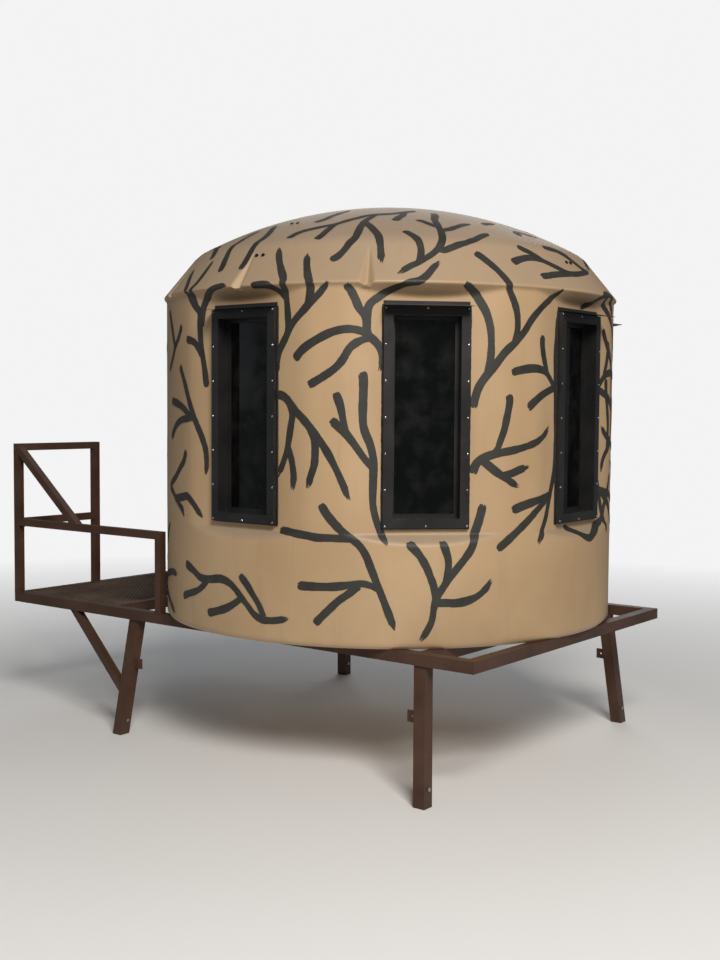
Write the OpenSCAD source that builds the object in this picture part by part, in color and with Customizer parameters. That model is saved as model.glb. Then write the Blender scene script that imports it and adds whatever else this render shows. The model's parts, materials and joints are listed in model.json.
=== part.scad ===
// Tank-type field blind: a moulded round shell on a steel stand with a porch deck.
// +X points away from the porch, +Y to the left of someone entering, +Z up.
// The origin is on the ground, under the middle of the overall size.

/* [Tank] */
// Outer diameter of the round wall
tank_d = 2210; // [2150:10:2700]
// Height of the wall up to the shoulder lip
wall_h = 1539; // [1539:1:1860]
// Thickness of the moulded wall
wall_t = 9.5; // [6:0.1:12]
// How far the shoulder lip stands out from the wall
lip_out = 16; // [8:1:24]
// Height of the slope under the lip
lip_under = 57; // [50:1:70]
// Rise of the sloping band above the lip
band_h = 198; // [150:1:240]
// Radial width of the sloping band
band_w = 160; // [120:1:200]
// Rise of the crown above the sloping band
crown_h = 257; // [200:1:300]
// Depth of the flat panels in the wall
flat_depth = 50; // [44:1:56]
// Height of the lower edge of the window flats
flat_low = 484; // [470:1:492]
// Height of the lower edge of the door flat
door_flat_low = 42; // [38:1:44]
// Rise of the slope under each flat
flat_slope = 41; // [20:1:50]
// Depth of each roof groove at the lip
groove_depth = 38; // [20:1:45]
// Angle between neighbouring roof grooves
groove_step = 31.5; // [28:0.5:36]

/* [Windows] */
// Overall width of a window
win_w = 370; // [300:1:450]
// Overall height of a window
win_h = 933; // [600:1:933]
// Height of a window's lower edge above the tank's bottom
win_low = 511; // [505:1:520]
// Width of the frame bars
bar_w = 40; // [34:1:46]
// How far the frame stands out from the flat
bar_t = 23.5; // [16:0.5:30]
// How far the frame's throat reaches in from the flat
throat_in = 34; // [28:1:40]
// Thickness of the throat
throat_t = 4; // [3:0.5:6]
// Width of the sash bars
sash_bar = 38; // [34:1:44]
// Thickness of the sash
sash_t = 22; // [18:1:26]
// How far the sash laps over the throat
sash_lap = 18; // [14:1:22]
// Thickness of the pane
glass_t = 5; // [3:0.5:6]
// How far the pane sits in the sash
glass_in = 6; // [4:0.5:8]
// How far the rain hood reaches out from the flat
hood_out = 96; // [60:1:110]

/* [Door] */
// Width of the door opening
door_w = 560; // [480:5:560]
// Height of the door opening
door_h = 1370; // [1200:5:1370]
// Height of the sill above the tank's bottom
door_low = 74; // [70:1:76]
// Width of the door frame's flange
flange_w = 32; // [28:1:36]
// Thickness of the flange
flange_t = 6; // [4:0.5:8]
// Thickness of the door
door_t = 12; // [9:0.5:16]
// How far the door laps over the flange
door_lap = 20; // [16:1:24]
// Length of a door strap
strap_len = 170; // [120:5:220]
// Length of the handle's lever
lever_len = 120; // [90:5:150]

/* [Stand] */
// Height of the frame's top above the ground
stand_h = 629; // [450:1:900]
// Length of the deck, from the tank's wall to the frame's end
deck_len = 777; // [700:1:1000]
// Width of the frame
frame_w = 1750; // [1600:2:1900]
// How far the tank's wall overhangs the frame's far end
frame_tuck = 26; // [0:1:40]
// Side of the frame's square tube
tube = 50.8; // [45:0.1:62]
// Wall of every steel tube
tube_t = 3.2; // [2:0.1:4]
// Side of the deck stringers' tube
stringer = 38.1; // [30:0.1:42]
// Thickness of the deck mesh
mesh_t = 6; // [4:0.5:8]
// Side of the legs' square tube
leg = 57.2; // [50:0.1:64]
// How far the deck's legs stand in from the tank's wall
leg_deck_in = 164; // [120:1:220]
// How far the far legs stand in from the frame's end
leg_back_in = 272; // [220:1:320]
// How far a leg's foot is splayed along the frame
splay_x = 50; // [20:1:70]
// How far a leg's foot is splayed across the frame
splay_y = 70; // [40:1:90]
// Side of the leg braces' square tube
brace = 38.1; // [25:0.1:44]
// Side of the square brace tabs
tab = 50; // [40:1:60]
// Thickness of the brace tabs
tab_t = 6; // [4:0.5:8]
// Diameter of the hole in a brace tab
tab_hole = 11; // [8:0.5:14]

/* [Guard rails] */
// Side of the rails' square tube
rail = 38.1; // [25:0.1:44]
// Height of the tall posts above the frame
post_h = 810; // [700:5:1000]
// Height of the low rail's top above the frame
low_rail_h = 403; // [350:1:500]
// Width of the gap for the ladder
entry_w = 610; // [500:5:700]
// Gap between the last low post and the tank's wall
post_gap = 37; // [20:1:80]

/* [Hidden] */
$fn = 48;
tank_r = tank_d / 2;
flat_r = tank_r - flat_depth;
lip_r = tank_r + lip_out;
band_top_r = lip_r - band_w;
crown_r = (band_top_r * band_top_r + crown_h * crown_h) / (2 * crown_h);
tank_top = wall_h + band_h + crown_h;
base_chamfer = 10;

fit = 0.05;             // radial clearance of a turning fit
gap = 0.5;              // clearance between pieces that pass each other
seat_gap = 0.3;         // clearance between a closed leaf and its seal
reach = 400;            // half length of the cutters, past any flat

side_r = hood_out + flat_r;                     // furthest reach of the far hood
deck_end = tank_r + deck_len;                   // deck end, from the tank's axis
frame_back = tank_r - frame_tuck;               // far end, from the tank's axis
leg_deck_x = tank_r - leg_deck_in;
leg_back_x = frame_back - leg_back_in;
side_post_x = sqrt(pow(tank_r, 2) - pow(frame_w / 2 - rail / 2, 2)) + post_gap;
tank_x = (deck_end - side_r) / 2;               // puts the origin under the middle

win_angles = [270, 315, 0, 45, 90];
groove_angles = [for (side = [90, 270], k = [-1, 0, 1]) side + k * groove_step];

throat_w = win_w - 2 * bar_w;
throat_h = win_h - 2 * bar_w;
cut_gap = 3;            // gap between the throat and the hole in the wall
ring_t = 3;             // thickness of the inner clamp ring
ring_w = 55;            // width of the inner clamp ring
seal_t = 2.5;           // thickness of a leaf's seal
sash_w = throat_w + 2 * throat_t + 2 * sash_lap;
sash_h = throat_h + 2 * throat_t + 2 * sash_lap;
sash_out = flat_r - throat_in - seal_t - seat_gap;    // outer face of the sash
sash_in = sash_out - sash_t;                          // inner face of the sash
ring_in = flat_r - wall_t - ring_t;                   // inner face of the clamp ring
pin_r = 2.5;
knuckle_r = 6;
knuckle_h = 25;
hinge_off = 8;                                        // hinge axis past the sash's edge
hinge_x = sash_in + 4;
hinge_y = sash_w / 2 + hinge_off;
hinge_inset = 150;
latch_y = -(sash_w / 2 + 16);
latch_len = 68;
latch_w = 16;
latch_t = 4;
stud_r = 4;
screw_r = 5.5;
screw_h = 2.6;
hood_t = 2;
hood_rise = 16;
hood_drop = 10;
bead = 5;               // width of the sealant bead round a window

frame_out_w = door_w + 2 * flange_w;
frame_out_h = door_h + 2 * flange_w;
door_in = flat_r + flange_t + seal_t + seat_gap;      // inner face of the door
door_out = door_in + door_t;
door_full_w = door_w + 2 * door_lap;
door_pin_r = 4;
door_knuckle_r = 7.5;
door_knuckle_h = 40;
door_hinge_x = door_out + 1;
door_hinge_y = door_full_w / 2 + 9.5;
door_hinge_heights = [door_low + 130, door_low + door_h / 2, door_low + door_h - 130];
spindle_r = 8;
spindle_y = -(door_w / 2 - 30);
spindle_z = door_low + door_h * 0.5;
cam_w = 16;
cam_t = 5;
cam_len = 62;

floor_t = 15;
floor_r = tank_r - 50;
bolt_r = 5;
bolt_head_r = 9.5;
bolt_head_h = 6.5;
washer_t = 2;
washer_r = 15;
cross_xs = [-tank_r - 15, -0.434 * tank_r, 0.154 * tank_r, leg_back_x];
bolt_ys = [-0.32 * frame_w, 0.32 * frame_w];
bolt_cross = [1, 2];
stringer_y = 270;
leg_h = stand_h - tube;
leg_tilt_x = atan(splay_y / leg_h);
leg_tilt_y = atan(splay_x / leg_h);
leg_y = frame_w / 2 - leg / 2 - 11;
tab_drop = 245;         // top of a brace tab below the frame's top
brace_top_x = leg_deck_x + 455;     // where a leg brace meets the frame, from the tank's axis
brace_foot_drop = 430;  // where it meets the leg, below the frame's top
cap_t = 4;

tan_c = "tan";
black_c = "#33332f";
steel_c = "#5a4434";
zinc_c = "silver";

// ---- places ----

// From the tank's axis at its bottom to the part's own frame
module on_stand() {
    translate([tank_x, 0, stand_h]) children();
}

// Turns a piece drawn facing +X to face the given direction
module facing(angle) {
    on_stand() rotate([0, 0, angle]) children();
}

// A ring in the YZ plane from x0 to x1, with a wall of width w, standing on z0
module ring(x0, x1, wide, high, w, z0) {
    difference() {
        translate([x0, -wide / 2, z0]) cube([x1 - x0, wide, high]);
        translate([x0 - 1, -wide / 2 + w, z0 + w])
            cube([x1 - x0 + 2, wide - 2 * w, high - 2 * w]);
    }
}

// A box drawn between two corners
module span(a, b) {
    translate(a) cube(b - a);
}

// A square tube along Z, open at both ends
module tube_z(side, len) {
    difference() {
        translate([-side / 2, -side / 2, 0]) cube([side, side, len]);
        translate([-side / 2 + tube_t, -side / 2 + tube_t, -1])
            cube([side - 2 * tube_t, side - 2 * tube_t, len + 2]);
    }
}

// A square tube along X from x0 to x1, centred on y and z
module tube_x(side, x0, x1, y, z) {
    translate([x0, y, z]) rotate([0, 90, 0]) tube_z(side, x1 - x0);
}

// A square tube along Y from y0 to y1, centred on x and z
module tube_y(side, y0, y1, x, z) {
    translate([x, y0, z]) rotate([-90, 0, 0]) tube_z(side, y1 - y0);
}

// ---- tank ----

// Corner p moved inwards by o from two lines with outward normals n and m
function inset(p, n, m, o) = p - o * (n + m) / (1 + n * m);
function unit(v) = v / norm(v);

band_n = unit([band_h, band_w]);
under_n = unit([lip_under, -(flat_depth + lip_out)]);

// Sides of the shell's round surfaces, so that their flats stay within a third of a millimetre
shell_fn = 180;

// The roof as a solid, o inside the outer surface
module roof_solid(o) {
    lip = inset([lip_r, wall_h], band_n, under_n, o);
    low_r = lip_r - flat_depth - lip_out;
    low = inset([low_r, wall_h - lip_under], under_n, [1, 0], o);
    tip = lip[1] + lip[0] * band_h / band_w;
    intersection() {
        rotate_extrude($fn = shell_fn) polygon([[0, low[1]], low, lip, [0, tip]]);
        translate([0, 0, tank_top - crown_r]) sphere(crown_r - o, $fn = shell_fn);
    }
}

// The wall as a solid with its flats, o inside the outer surface
module wall_solid(o) {
    slope = lip_under / (flat_depth + lip_out);
    top = wall_h - lip_out * slope + o * (1 - slope);
    foot = base_chamfer;
    difference() {
        rotate_extrude($fn = shell_fn) polygon([
            [0, o], [tank_r - foot - o * 0.4, o], [tank_r - o, foot + o * 0.4],
            [tank_r - o, top], [0, top]
        ]);
        for (angle = win_angles) rotate([0, 0, angle])
            flat_cut(flat_low, o);
        rotate([0, 0, 180]) flat_cut(door_flat_low, o);
    }
}

// What a flat panel takes off the round wall
module flat_cut(low, o) {
    far = flat_depth + lip_out;
    rise = far * flat_slope / flat_depth;
    rotate([90, 0, 0]) translate([0, 0, -reach]) linear_extrude(2 * reach) polygon([
        [flat_r - o, low + o * 0.4], [flat_r - o, wall_h + 1],
        [flat_r - o + far, wall_h + 1], [flat_r - o + far, low + o * 0.4 - rise]
    ]);
}

// A V-shaped bar that leaves a groove in the roof's edge
module groove_bar(o) {
    start = [lip_r - band_w * 0.91, wall_h + band_h * 0.91];
    end = [lip_r - groove_depth, wall_h];
    fall = atan((start[1] - end[1]) / (end[0] - start[0]));
    side = 260;
    translate([start[0] - o * sqrt(2) * sin(fall), 0, start[1] - o * sqrt(2) * cos(fall)])
        rotate([0, fall, 0]) rotate([45, 0, 0]) translate([-60, 0, 0]) cube([420, side, side]);
}

module tank_solid(o) {
    difference() {
        union() {
            roof_solid(o);
            wall_solid(o);
        }
        for (angle = groove_angles) rotate([0, 0, angle]) groove_bar(o);
    }
}

module tank_shell() {
    hole_w = throat_w + 2 * throat_t + 2 * cut_gap;
    hole_h = throat_h + 2 * throat_t + 2 * cut_gap;
    hole_low = win_low + bar_w - throat_t - cut_gap;
    color(tan_c) on_stand() difference() {
        tank_solid(0);
        tank_solid(wall_t);
        for (angle = win_angles) rotate([0, 0, angle])
            translate([flat_r - 60, -hole_w / 2, hole_low]) cube([120, hole_w, hole_h]);
        rotate([0, 0, 180]) translate([flat_r - 60, -door_w / 2, door_low])
            cube([120, door_w, door_h]);
        at_hold_downs() cylinder(h = 60, r = bolt_r + gap, center = true);
        at_roof_bolts() cylinder(h = 60, r = roof_bolt_r, center = true);
    }
}

module floor_panel() {
    color("burlywood") on_stand() difference() {
        translate([0, 0, wall_t]) cylinder(h = floor_t, r = floor_r, $fn = 96);
        at_hold_downs() cylinder(h = 120, r = bolt_r + gap, center = true);
    }
}

module at_hold_downs() {
    for (i = bolt_cross, y = bolt_ys) translate([cross_xs[i], y, 0]) children();
}

module hold_down_bolts() {
    head_z = wall_t + floor_t;
    color(zinc_c) on_stand() at_hold_downs() {
        translate([0, 0, -tube - washer_t - 8]) cylinder(h = head_z + tube + 10 + washer_t, r = bolt_r);
        translate([0, 0, head_z]) cylinder(h = washer_t, r = washer_r);
        translate([0, 0, head_z + washer_t]) cylinder(h = bolt_head_h, r = bolt_head_r, $fn = 6);
        translate([0, 0, -tube - washer_t]) cylinder(h = washer_t, r = washer_r);
        translate([0, 0, -tube - washer_t - 8]) cylinder(h = 8, r = bolt_head_r, $fn = 6);
    }
}

// Bolt pairs in the roof, above four of the flats and high on the crown: direction, distance
roof_bolt_r = 4;
low_pair = lip_r - 111;
high_pair = band_top_r - 235;
roof_bolt_pairs = [
    [272.4, low_pair], [359.3, low_pair], [87.6, low_pair], [180, low_pair],
    [269.7, high_pair], [90.3, high_pair]
];
roof_bolt_step = 36;

// Height of the roof's surface at distance r from the axis
function roof_z(r) = min(
    wall_h + (lip_r - r) * band_h / band_w,
    tank_top - crown_r + sqrt(crown_r * crown_r - r * r)
);
// Tilt of the roof's surface there
function roof_tilt(r) = r > band_top_r ? atan(band_h / band_w) : asin(r / crown_r);

module at_roof_bolts() {
    for (pair = roof_bolt_pairs, s = [-1, 1]) rotate([0, 0, pair[0]])
        translate([pair[1], s * roof_bolt_step / 2, roof_z(norm([pair[1], roof_bolt_step / 2]))])
            rotate([0, roof_tilt(pair[1]), 0]) children();
}

module roof_bolts() {
    color(black_c) on_stand() at_roof_bolts() {
        translate([0, 0, 0.4]) cylinder(h = 5, r = 8);
        translate([0, 0, -wall_t - 10]) cylinder(h = wall_t + 11, r = roof_bolt_r);
        translate([0, 0, -wall_t - 9]) cylinder(h = 6, r = 7.5, $fn = 6);
    }
}

// ---- windows ----

module window_frame(i) {
    low = win_low;
    color(black_c) facing(win_angles[i]) {
        ring(flat_r, flat_r + bar_t, win_w, win_h, bar_w, low);
        ring(flat_r - throat_in, flat_r, throat_w + 2 * throat_t, throat_h + 2 * throat_t,
            throat_t, low + bar_w - throat_t);
    }
}

module window_inner_ring(i) {
    wide = throat_w + 2 * throat_t;
    high = throat_h + 2 * throat_t;
    low = win_low + bar_w - throat_t;
    color(black_c) facing(win_angles[i]) difference() {
        union() {
            ring(ring_in, flat_r - wall_t, wide + 2 * ring_w, high + 2 * ring_w, ring_w, low - ring_w);
            for (z = hinge_zs(), s = [-1, 1]) translate([0, 0, z + s * (knuckle_h + gap)]) {
                span([hinge_x, hinge_y - 3, -knuckle_h / 2], [ring_in, hinge_y + 3, knuckle_h / 2]);
                translate([hinge_x, hinge_y, -knuckle_h / 2])
                    cylinder(h = knuckle_h, r = knuckle_r);
            }
            translate([latch_x(), latch_y, latch_z()]) rotate([0, 90, 0])
                cylinder(h = ring_in - latch_x(), r = stud_r);
            translate([latch_x() + latch_t + gap, latch_y, latch_z()]) rotate([0, 90, 0])
                cylinder(h = ring_in - latch_x() - latch_t - gap, r = stud_r + 4);
        }
        for (z = hinge_zs()) translate([hinge_x, hinge_y, z - 60]) cylinder(h = 120, r = pin_r);
    }
}

function hinge_zs() = [win_low + hinge_inset, win_low + win_h - hinge_inset];
function latch_x() = sash_in - gap - latch_t;
function latch_z() = win_low + win_h / 2;
function sash_low() = win_low + bar_w - throat_t - sash_lap;

module window_sash(i) {
    color(black_c) facing(win_angles[i]) difference() {
        union() {
            ring(sash_in, sash_out, sash_w, sash_h, sash_bar, sash_low());
            for (z = hinge_zs()) {
                span([hinge_x - 3, sash_w / 2, z - knuckle_h / 2],
                    [hinge_x + 3, hinge_y, z + knuckle_h / 2]);
                translate([hinge_x, hinge_y, z - knuckle_h / 2])
                    cylinder(h = knuckle_h, r = knuckle_r);
            }
            translate([sash_in - 16, -(sash_w - sash_bar) / 2, latch_z() - 120])
                rotate([0, 90, 0]) cylinder(h = 16, r = 8);
        }
        for (z = hinge_zs()) translate([hinge_x, hinge_y, z - 60])
            cylinder(h = 120, r = pin_r + fit);
        pane_box();
    }
}

module pane_box() {
    wide = sash_w - 2 * sash_bar + 2 * glass_in;
    high = sash_h - 2 * sash_bar + 2 * glass_in;
    translate([(sash_in + sash_out - glass_t) / 2, -wide / 2, sash_low() + sash_bar - glass_in])
        cube([glass_t, wide, high]);
}

module window_glass(i) {
    color("#8899a0", 0.5) facing(win_angles[i]) pane_box();
}

module window_latch(i) {
    color(black_c) facing(win_angles[i]) translate([latch_x(), latch_y, latch_z()])
        difference() {
            union() {
                span([0, -latch_w / 2, -latch_w / 2], [latch_t, latch_w / 2, latch_len - latch_w]);
                rotate([0, 90, 0]) cylinder(h = latch_t, r = latch_w / 2);
                translate([-10, -latch_w / 2, latch_len - latch_w - 6]) cube([10, latch_w, 6]);
            }
            rotate([0, 90, 0]) cylinder(h = 60, r = stud_r + fit, center = true);
        }
}

module window_seals() {
    outer_w = throat_w + 2 * throat_t;
    color("#141414") for (angle = win_angles) facing(angle) {
        ring(flat_r - throat_in - seal_t, flat_r - throat_in, outer_w,
            throat_h + 2 * throat_t, throat_t, win_low + bar_w - throat_t);
        ring(flat_r, flat_r + bead, win_w + 2 * bead, win_h + 2 * bead, bead, win_low - bead);
    }
}

module sash_hinge_pins() {
    len = 3 * knuckle_h + 2 * gap;
    color(zinc_c) for (angle = win_angles) facing(angle) for (z = hinge_zs())
        translate([hinge_x, hinge_y, z - len / 2]) {
            cylinder(h = len, r = pin_r);
            translate([0, 0, len]) cylinder(h = 2.5, r = pin_r + 2);
        }
}

screw_side = [for (k = [0:4]) win_low + 88 + k * (win_h - 176) / 4];
screw_end = [for (k = [0:2]) (k - 1) * (win_w / 2 - 50)];

module window_screws() {
    edge = 8;
    color(zinc_c) for (angle = win_angles) facing(angle) translate([flat_r + bar_t, 0, 0]) {
        for (z = screw_side, s = [-1, 1]) screw_head(s * (win_w / 2 - edge), z);
        for (y = screw_end, z = [win_low + edge, win_low + win_h - edge]) screw_head(y, z);
    }
}

module screw_head(y, z) {
    translate([0, y, z]) rotate([0, 90, 0]) cylinder(h = screw_h, r1 = screw_r, r2 = screw_r - 2);
}

module rain_hoods() {
    top = win_low + win_h + bead + 0.5;
    color(black_c) for (angle = win_angles) facing(angle)
        translate([0, win_w / 2, 0]) rotate([90, 0, 0]) linear_extrude(win_w) polygon([
            [flat_r, top], [flat_r + hood_out, top - hood_drop],
            [flat_r + hood_out, top - hood_drop + hood_t], [flat_r + hood_t, top + hood_t],
            [flat_r + hood_t, top + hood_rise], [flat_r, top + hood_rise]
        ]);
}

// ---- door ----

module door_frame() {
    color(black_c) facing(180) ring(flat_r, flat_r + flange_t, frame_out_w, frame_out_h,
        flange_w, door_low - flange_w);
}

module door_seal() {
    color("#141414") facing(180) ring(flat_r + flange_t, flat_r + flange_t + seal_t,
        door_w + 2 * 12, door_h + 2 * 12, 10, door_low - 12);
}

module door_panel() {
    raised = 5;         // height of the door's three raised fields
    border = 60;
    pitch = (door_h - border) / 3;
    from_y = -door_w / 2 + border;
    to_y = door_hinge_y - strap_len - border / 4;
    color(tan_c) facing(180) difference() {
        union() {
            span([door_in, -door_full_w / 2, door_low - door_lap],
                [door_out, door_full_w / 2, door_low + door_h + door_lap]);
            for (k = [0:2]) span([door_out, from_y, door_low + border + k * pitch],
                [door_out + raised, to_y, door_low + (k + 1) * pitch]);
        }
        translate([0, spindle_y, spindle_z]) rotate([0, 90, 0])
            cylinder(h = 2 * tank_d, r = spindle_r + fit);
    }
}

module door_hinge_brackets() {
    color(black_c) facing(180) difference() {
        for (z = door_hinge_heights, s = [-1, 1]) translate([0, 0, z + s * (door_knuckle_h + gap)]) {
            span([flat_r + flange_t, door_hinge_y - 4, -door_knuckle_h / 2],
                [door_hinge_x, door_hinge_y + 2, door_knuckle_h / 2]);
            translate([door_hinge_x, door_hinge_y, -door_knuckle_h / 2])
                cylinder(h = door_knuckle_h, r = door_knuckle_r);
        }
        translate([door_hinge_x, door_hinge_y, 0]) cylinder(h = tank_top, r = door_pin_r);
    }
}

module door_straps() {
    color(black_c) facing(180) difference() {
        for (z = door_hinge_heights) {
            translate([door_hinge_x, door_hinge_y, z - door_knuckle_h / 2])
                cylinder(h = door_knuckle_h, r = door_knuckle_r);
            span([door_out, door_hinge_y - strap_len, z - door_knuckle_h / 2 + 4],
                [door_out + 4, door_hinge_y, z + door_knuckle_h / 2 - 4]);
        }
        translate([door_hinge_x, door_hinge_y, 0]) cylinder(h = tank_top, r = door_pin_r + fit);
    }
}

module door_hinge_pins() {
    len = 3 * door_knuckle_h + 2 * gap;
    color(zinc_c) facing(180) for (z = door_hinge_heights)
        translate([door_hinge_x, door_hinge_y, z - len / 2]) {
            cylinder(h = len, r = door_pin_r);
            translate([0, 0, len]) cylinder(h = 3, r = door_pin_r + 3);
        }
}

module door_handle() {
    cam_x = flat_r - wall_t - 1 - cam_t;
    out_x = door_out + 30;
    color(black_c) facing(180) translate([0, spindle_y, spindle_z]) {
        translate([cam_x, 0, 0]) rotate([0, 90, 0]) cylinder(h = out_x - cam_x, r = spindle_r);
        translate([door_out + gap, 0, 0]) rotate([0, 90, 0]) cylinder(h = 5, r = 24);
        translate([out_x, 0, 0]) rotate([0, 90, 0]) cylinder(h = 14, r = 13);
        span([out_x, -9, -lever_len], [out_x + 14, 9, 0]);
        span([cam_x, -cam_w / 2, -cam_w / 2], [cam_x + cam_t, cam_w / 2, cam_len]);
    }
}

// ---- stand ----

half_w = frame_w / 2;

module side_rail(s) {
    color(steel_c) on_stand() tube_x(tube, -deck_end + tube, frame_back - tube,
        s * (half_w - tube / 2), -tube / 2);
}

module end_rail(x) {
    color(steel_c) on_stand() tube_y(tube, -half_w, half_w, x, -tube / 2);
}

module cross_tubes() {
    color(steel_c) on_stand() difference() {
        for (x = cross_xs) tube_y(tube, -half_w + tube, half_w - tube, x, -tube / 2);
        at_hold_downs() cylinder(h = 3 * tube, r = bolt_r + gap, center = true);
    }
}

module deck_stringers() {
    color(steel_c) on_stand() for (s = [-1, 1])
        tube_x(stringer, -deck_end + tube, cross_xs[0] - tube / 2, s * stringer_y,
            -mesh_t - stringer / 2);
}

module deck_mesh() {
    color("#4e423a") on_stand() span([-deck_end + tube, -half_w + tube, -mesh_t],
        [cross_xs[0] - tube / 2, half_w - tube, 0]);
}

module tube_caps() {
    inner = tube - 2 * tube_t;
    post_inner = rail - 2 * tube_t;
    color("#1c1c1c") on_stand() {
        for (x = [-deck_end + tube / 2, frame_back - tube / 2], s = [-1, 1])
            translate([x, s * (half_w - cap_t / 2), -tube / 2]) cube([inner, cap_t, inner], center = true);
        for (s = [-1, 1], p = post_places())
            translate([p[0], s * p[1], p[2] - cap_t / 2]) cube([post_inner, post_inner, cap_t], center = true);
    }
}

// Draws in a leg's own frame: the top of the leg's line, with -Z along the leg
module along_leg(x, sx, sy) {
    translate([x, sy * leg_y, -tube])
        rotate([sy * leg_tilt_x, -sx * leg_tilt_y, 0]) children();
}

module leg_slab() {
    translate([-2 * tank_d, -tank_d, -stand_h]) cube([4 * tank_d, 2 * tank_d, leg_h]);
}

// The outside of a leg as a full bar
module leg_bar(x, sx, sy) {
    intersection() {
        along_leg(x, sx, sy) translate([-leg / 2, -leg / 2, -1.2 * leg_h]) cube([leg, leg, 1.4 * leg_h]);
        leg_slab();
    }
}

module leg_piece(x, sx, sy) {
    inner = leg - 2 * tube_t;
    foot_t = 5;
    color(steel_c) on_stand() difference() {
        leg_bar(x, sx, sy);
        intersection() {
            along_leg(x, sx, sy) translate([-inner / 2, -inner / 2, -1.3 * leg_h])
                cube([inner, inner, 1.5 * leg_h]);
            translate([0, 0, foot_t]) leg_slab();
        }
        along_leg(x, sx, sy) translate([0, 0, -leg_bolt_drop]) rotate([0, 90, 0])
            cylinder(h = leg, r = bolt_r);
    }
}

leg_bolt_drop = 510;    // distance of the clamp bolt down the leg

leg_places = [[-leg_deck_x, -1, -1], [-leg_deck_x, -1, 1], [leg_back_x, 1, -1], [leg_back_x, 1, 1]];

module leg_bolts() {
    color(zinc_c) on_stand() for (p = leg_places) along_leg(p[0], p[1], p[2])
        translate([0, 0, -leg_bolt_drop]) rotate([0, 90, 0]) {
            translate([0, 0, leg / 2 - tube_t - 10]) cylinder(h = tube_t + 10, r = bolt_r);
            translate([0, 0, leg / 2]) cylinder(h = bolt_head_h, r = bolt_head_r, $fn = 6);
        }
}

// Shift of a leg's line at the given depth below the frame's top
function leg_shift(drop) = (drop - tube) / leg_h;

module brace_tabs() {
    color(steel_c) on_stand() for (p = leg_places) {
        k = leg_shift(tab_drop + tab / 2);
        x = p[0] + p[1] * splay_x * k;
        y = p[2] * (leg_y + splay_y * k);
        inward = -p[1];
        difference() {
            span([min(x, x + inward * (leg / 2 + tab)), y - tab_t / 2, -tab_drop - tab],
                [max(x, x + inward * (leg / 2 + tab)), y + tab_t / 2, -tab_drop]);
            leg_bar(p[0], p[1], p[2]);
            translate([x + inward * (leg / 2 + tab / 2), y, -tab_drop - tab / 2]) rotate([90, 0, 0])
                cylinder(h = 60, r = tab_hole / 2, center = true);
        }
    }
}

module leg_brace(s) {
    k = leg_shift(brace_foot_drop);
    foot_x = -leg_deck_x - splay_x * k;
    foot_y = s * (leg_y + splay_y * k);
    top_y = s * (half_w - tube / 2);
    dx = foot_x + brace_top_x;
    dy = foot_y - top_y;
    dz = brace_foot_drop - tube;
    color(steel_c) on_stand() difference() {
        intersection() {
            translate([-brace_top_x, top_y, -tube]) rotate([0, 0, atan2(dy, dx)])
                rotate([0, 180 - atan(norm([dx, dy]) / dz), 0])
                    translate([0, 0, -100]) tube_z(brace, norm([dx, dy, dz]) + 100);
            leg_slab();
        }
        leg_bar(-leg_deck_x, -1, s);
        past_leg(foot_x);
    }
}

// Everything on the tank's side of a deck leg
module past_leg(x) {
    translate([x, -tank_d, -stand_h]) cube([tank_d, 2 * tank_d, leg_h]);
}

// ---- guard rails ----

post_x = -deck_end + rail / 2;
post_y = half_w - rail / 2;
entry_y = entry_w / 2 + rail / 2;
function post_places() = [
    [post_x, post_y, post_h], [post_x, entry_y, post_h],
    [-side_post_x - rail / 2, post_y, low_rail_h]
];

module guard_posts(s) {
    color(steel_c) on_stand() for (p = post_places())
        translate([p[0], s * p[1], 0]) tube_z(rail, p[2]);
}

module guard_rails(s) {
    from_y = entry_y + rail / 2;
    to_y = post_y - rail / 2;
    plate = 5;
    side = 36;
    color(steel_c) on_stand() {
        for (z = [post_h, low_rail_h])
            tube_y(rail, min(s * from_y, s * to_y), max(s * from_y, s * to_y), post_x, z - rail / 2);
        tube_x(rail, post_x + rail / 2, -side_post_x - rail, s * post_y, low_rail_h - rail / 2);
        translate([post_x + rail / 2, s * post_y + plate / 2, low_rail_h - rail]) rotate([90, 0, 0])
            linear_extrude(plate) polygon([[0, 0], [side, 0], [0, -side * 0.7]]);
    }
}

module guard_brace(s) {
    foot = deck_end - 492;          // where the brace lands on the low rail
    run = deck_end - foot - rail / 2;
    rise = post_h - low_rail_h - rail / 2;
    color(steel_c) on_stand() intersection() {
        translate([-foot, s * post_y, low_rail_h]) rotate([0, -atan(run / rise), 0])
            translate([0, 0, -100]) tube_z(rail, 900);
        span([post_x + rail / 2, -half_w, low_rail_h], [0, half_w, post_h]);
    }
}

tank_shell();
floor_panel();
roof_bolts();
hold_down_bolts();
window_frame(0);  // frame_right
window_frame(1);  // frame_back_right
window_frame(2);  // frame_back
window_frame(3);  // frame_back_left
window_frame(4);  // frame_left
window_sash(0);  // sash_right
window_sash(1);  // sash_back_right
window_sash(2);  // sash_back
window_sash(3);  // sash_back_left
window_sash(4);  // sash_left
window_glass(0);  // glass_right
window_glass(1);  // glass_back_right
window_glass(2);  // glass_back
window_glass(3);  // glass_back_left
window_glass(4);  // glass_left
window_latch(0);  // latch_right
window_latch(1);  // latch_back_right
window_latch(2);  // latch_back
window_latch(3);  // latch_back_left
window_latch(4);  // latch_left
for (i = [0:4]) window_inner_ring(i);  // window_inner_rings
window_seals();
sash_hinge_pins();
window_screws();
rain_hoods();
door_frame();
door_panel();
door_hinge_brackets();
door_straps();
door_hinge_pins();
door_handle();
door_seal();
side_rail(-1);  // side_rail_right
side_rail(1);  // side_rail_left
end_rail(-deck_end + tube / 2);  // end_rail_deck
end_rail(frame_back - tube / 2);  // end_rail_back
cross_tubes();
deck_stringers();
deck_mesh();
tube_caps();
leg_piece(-leg_deck_x, -1, -1);  // leg_deck_right
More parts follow.
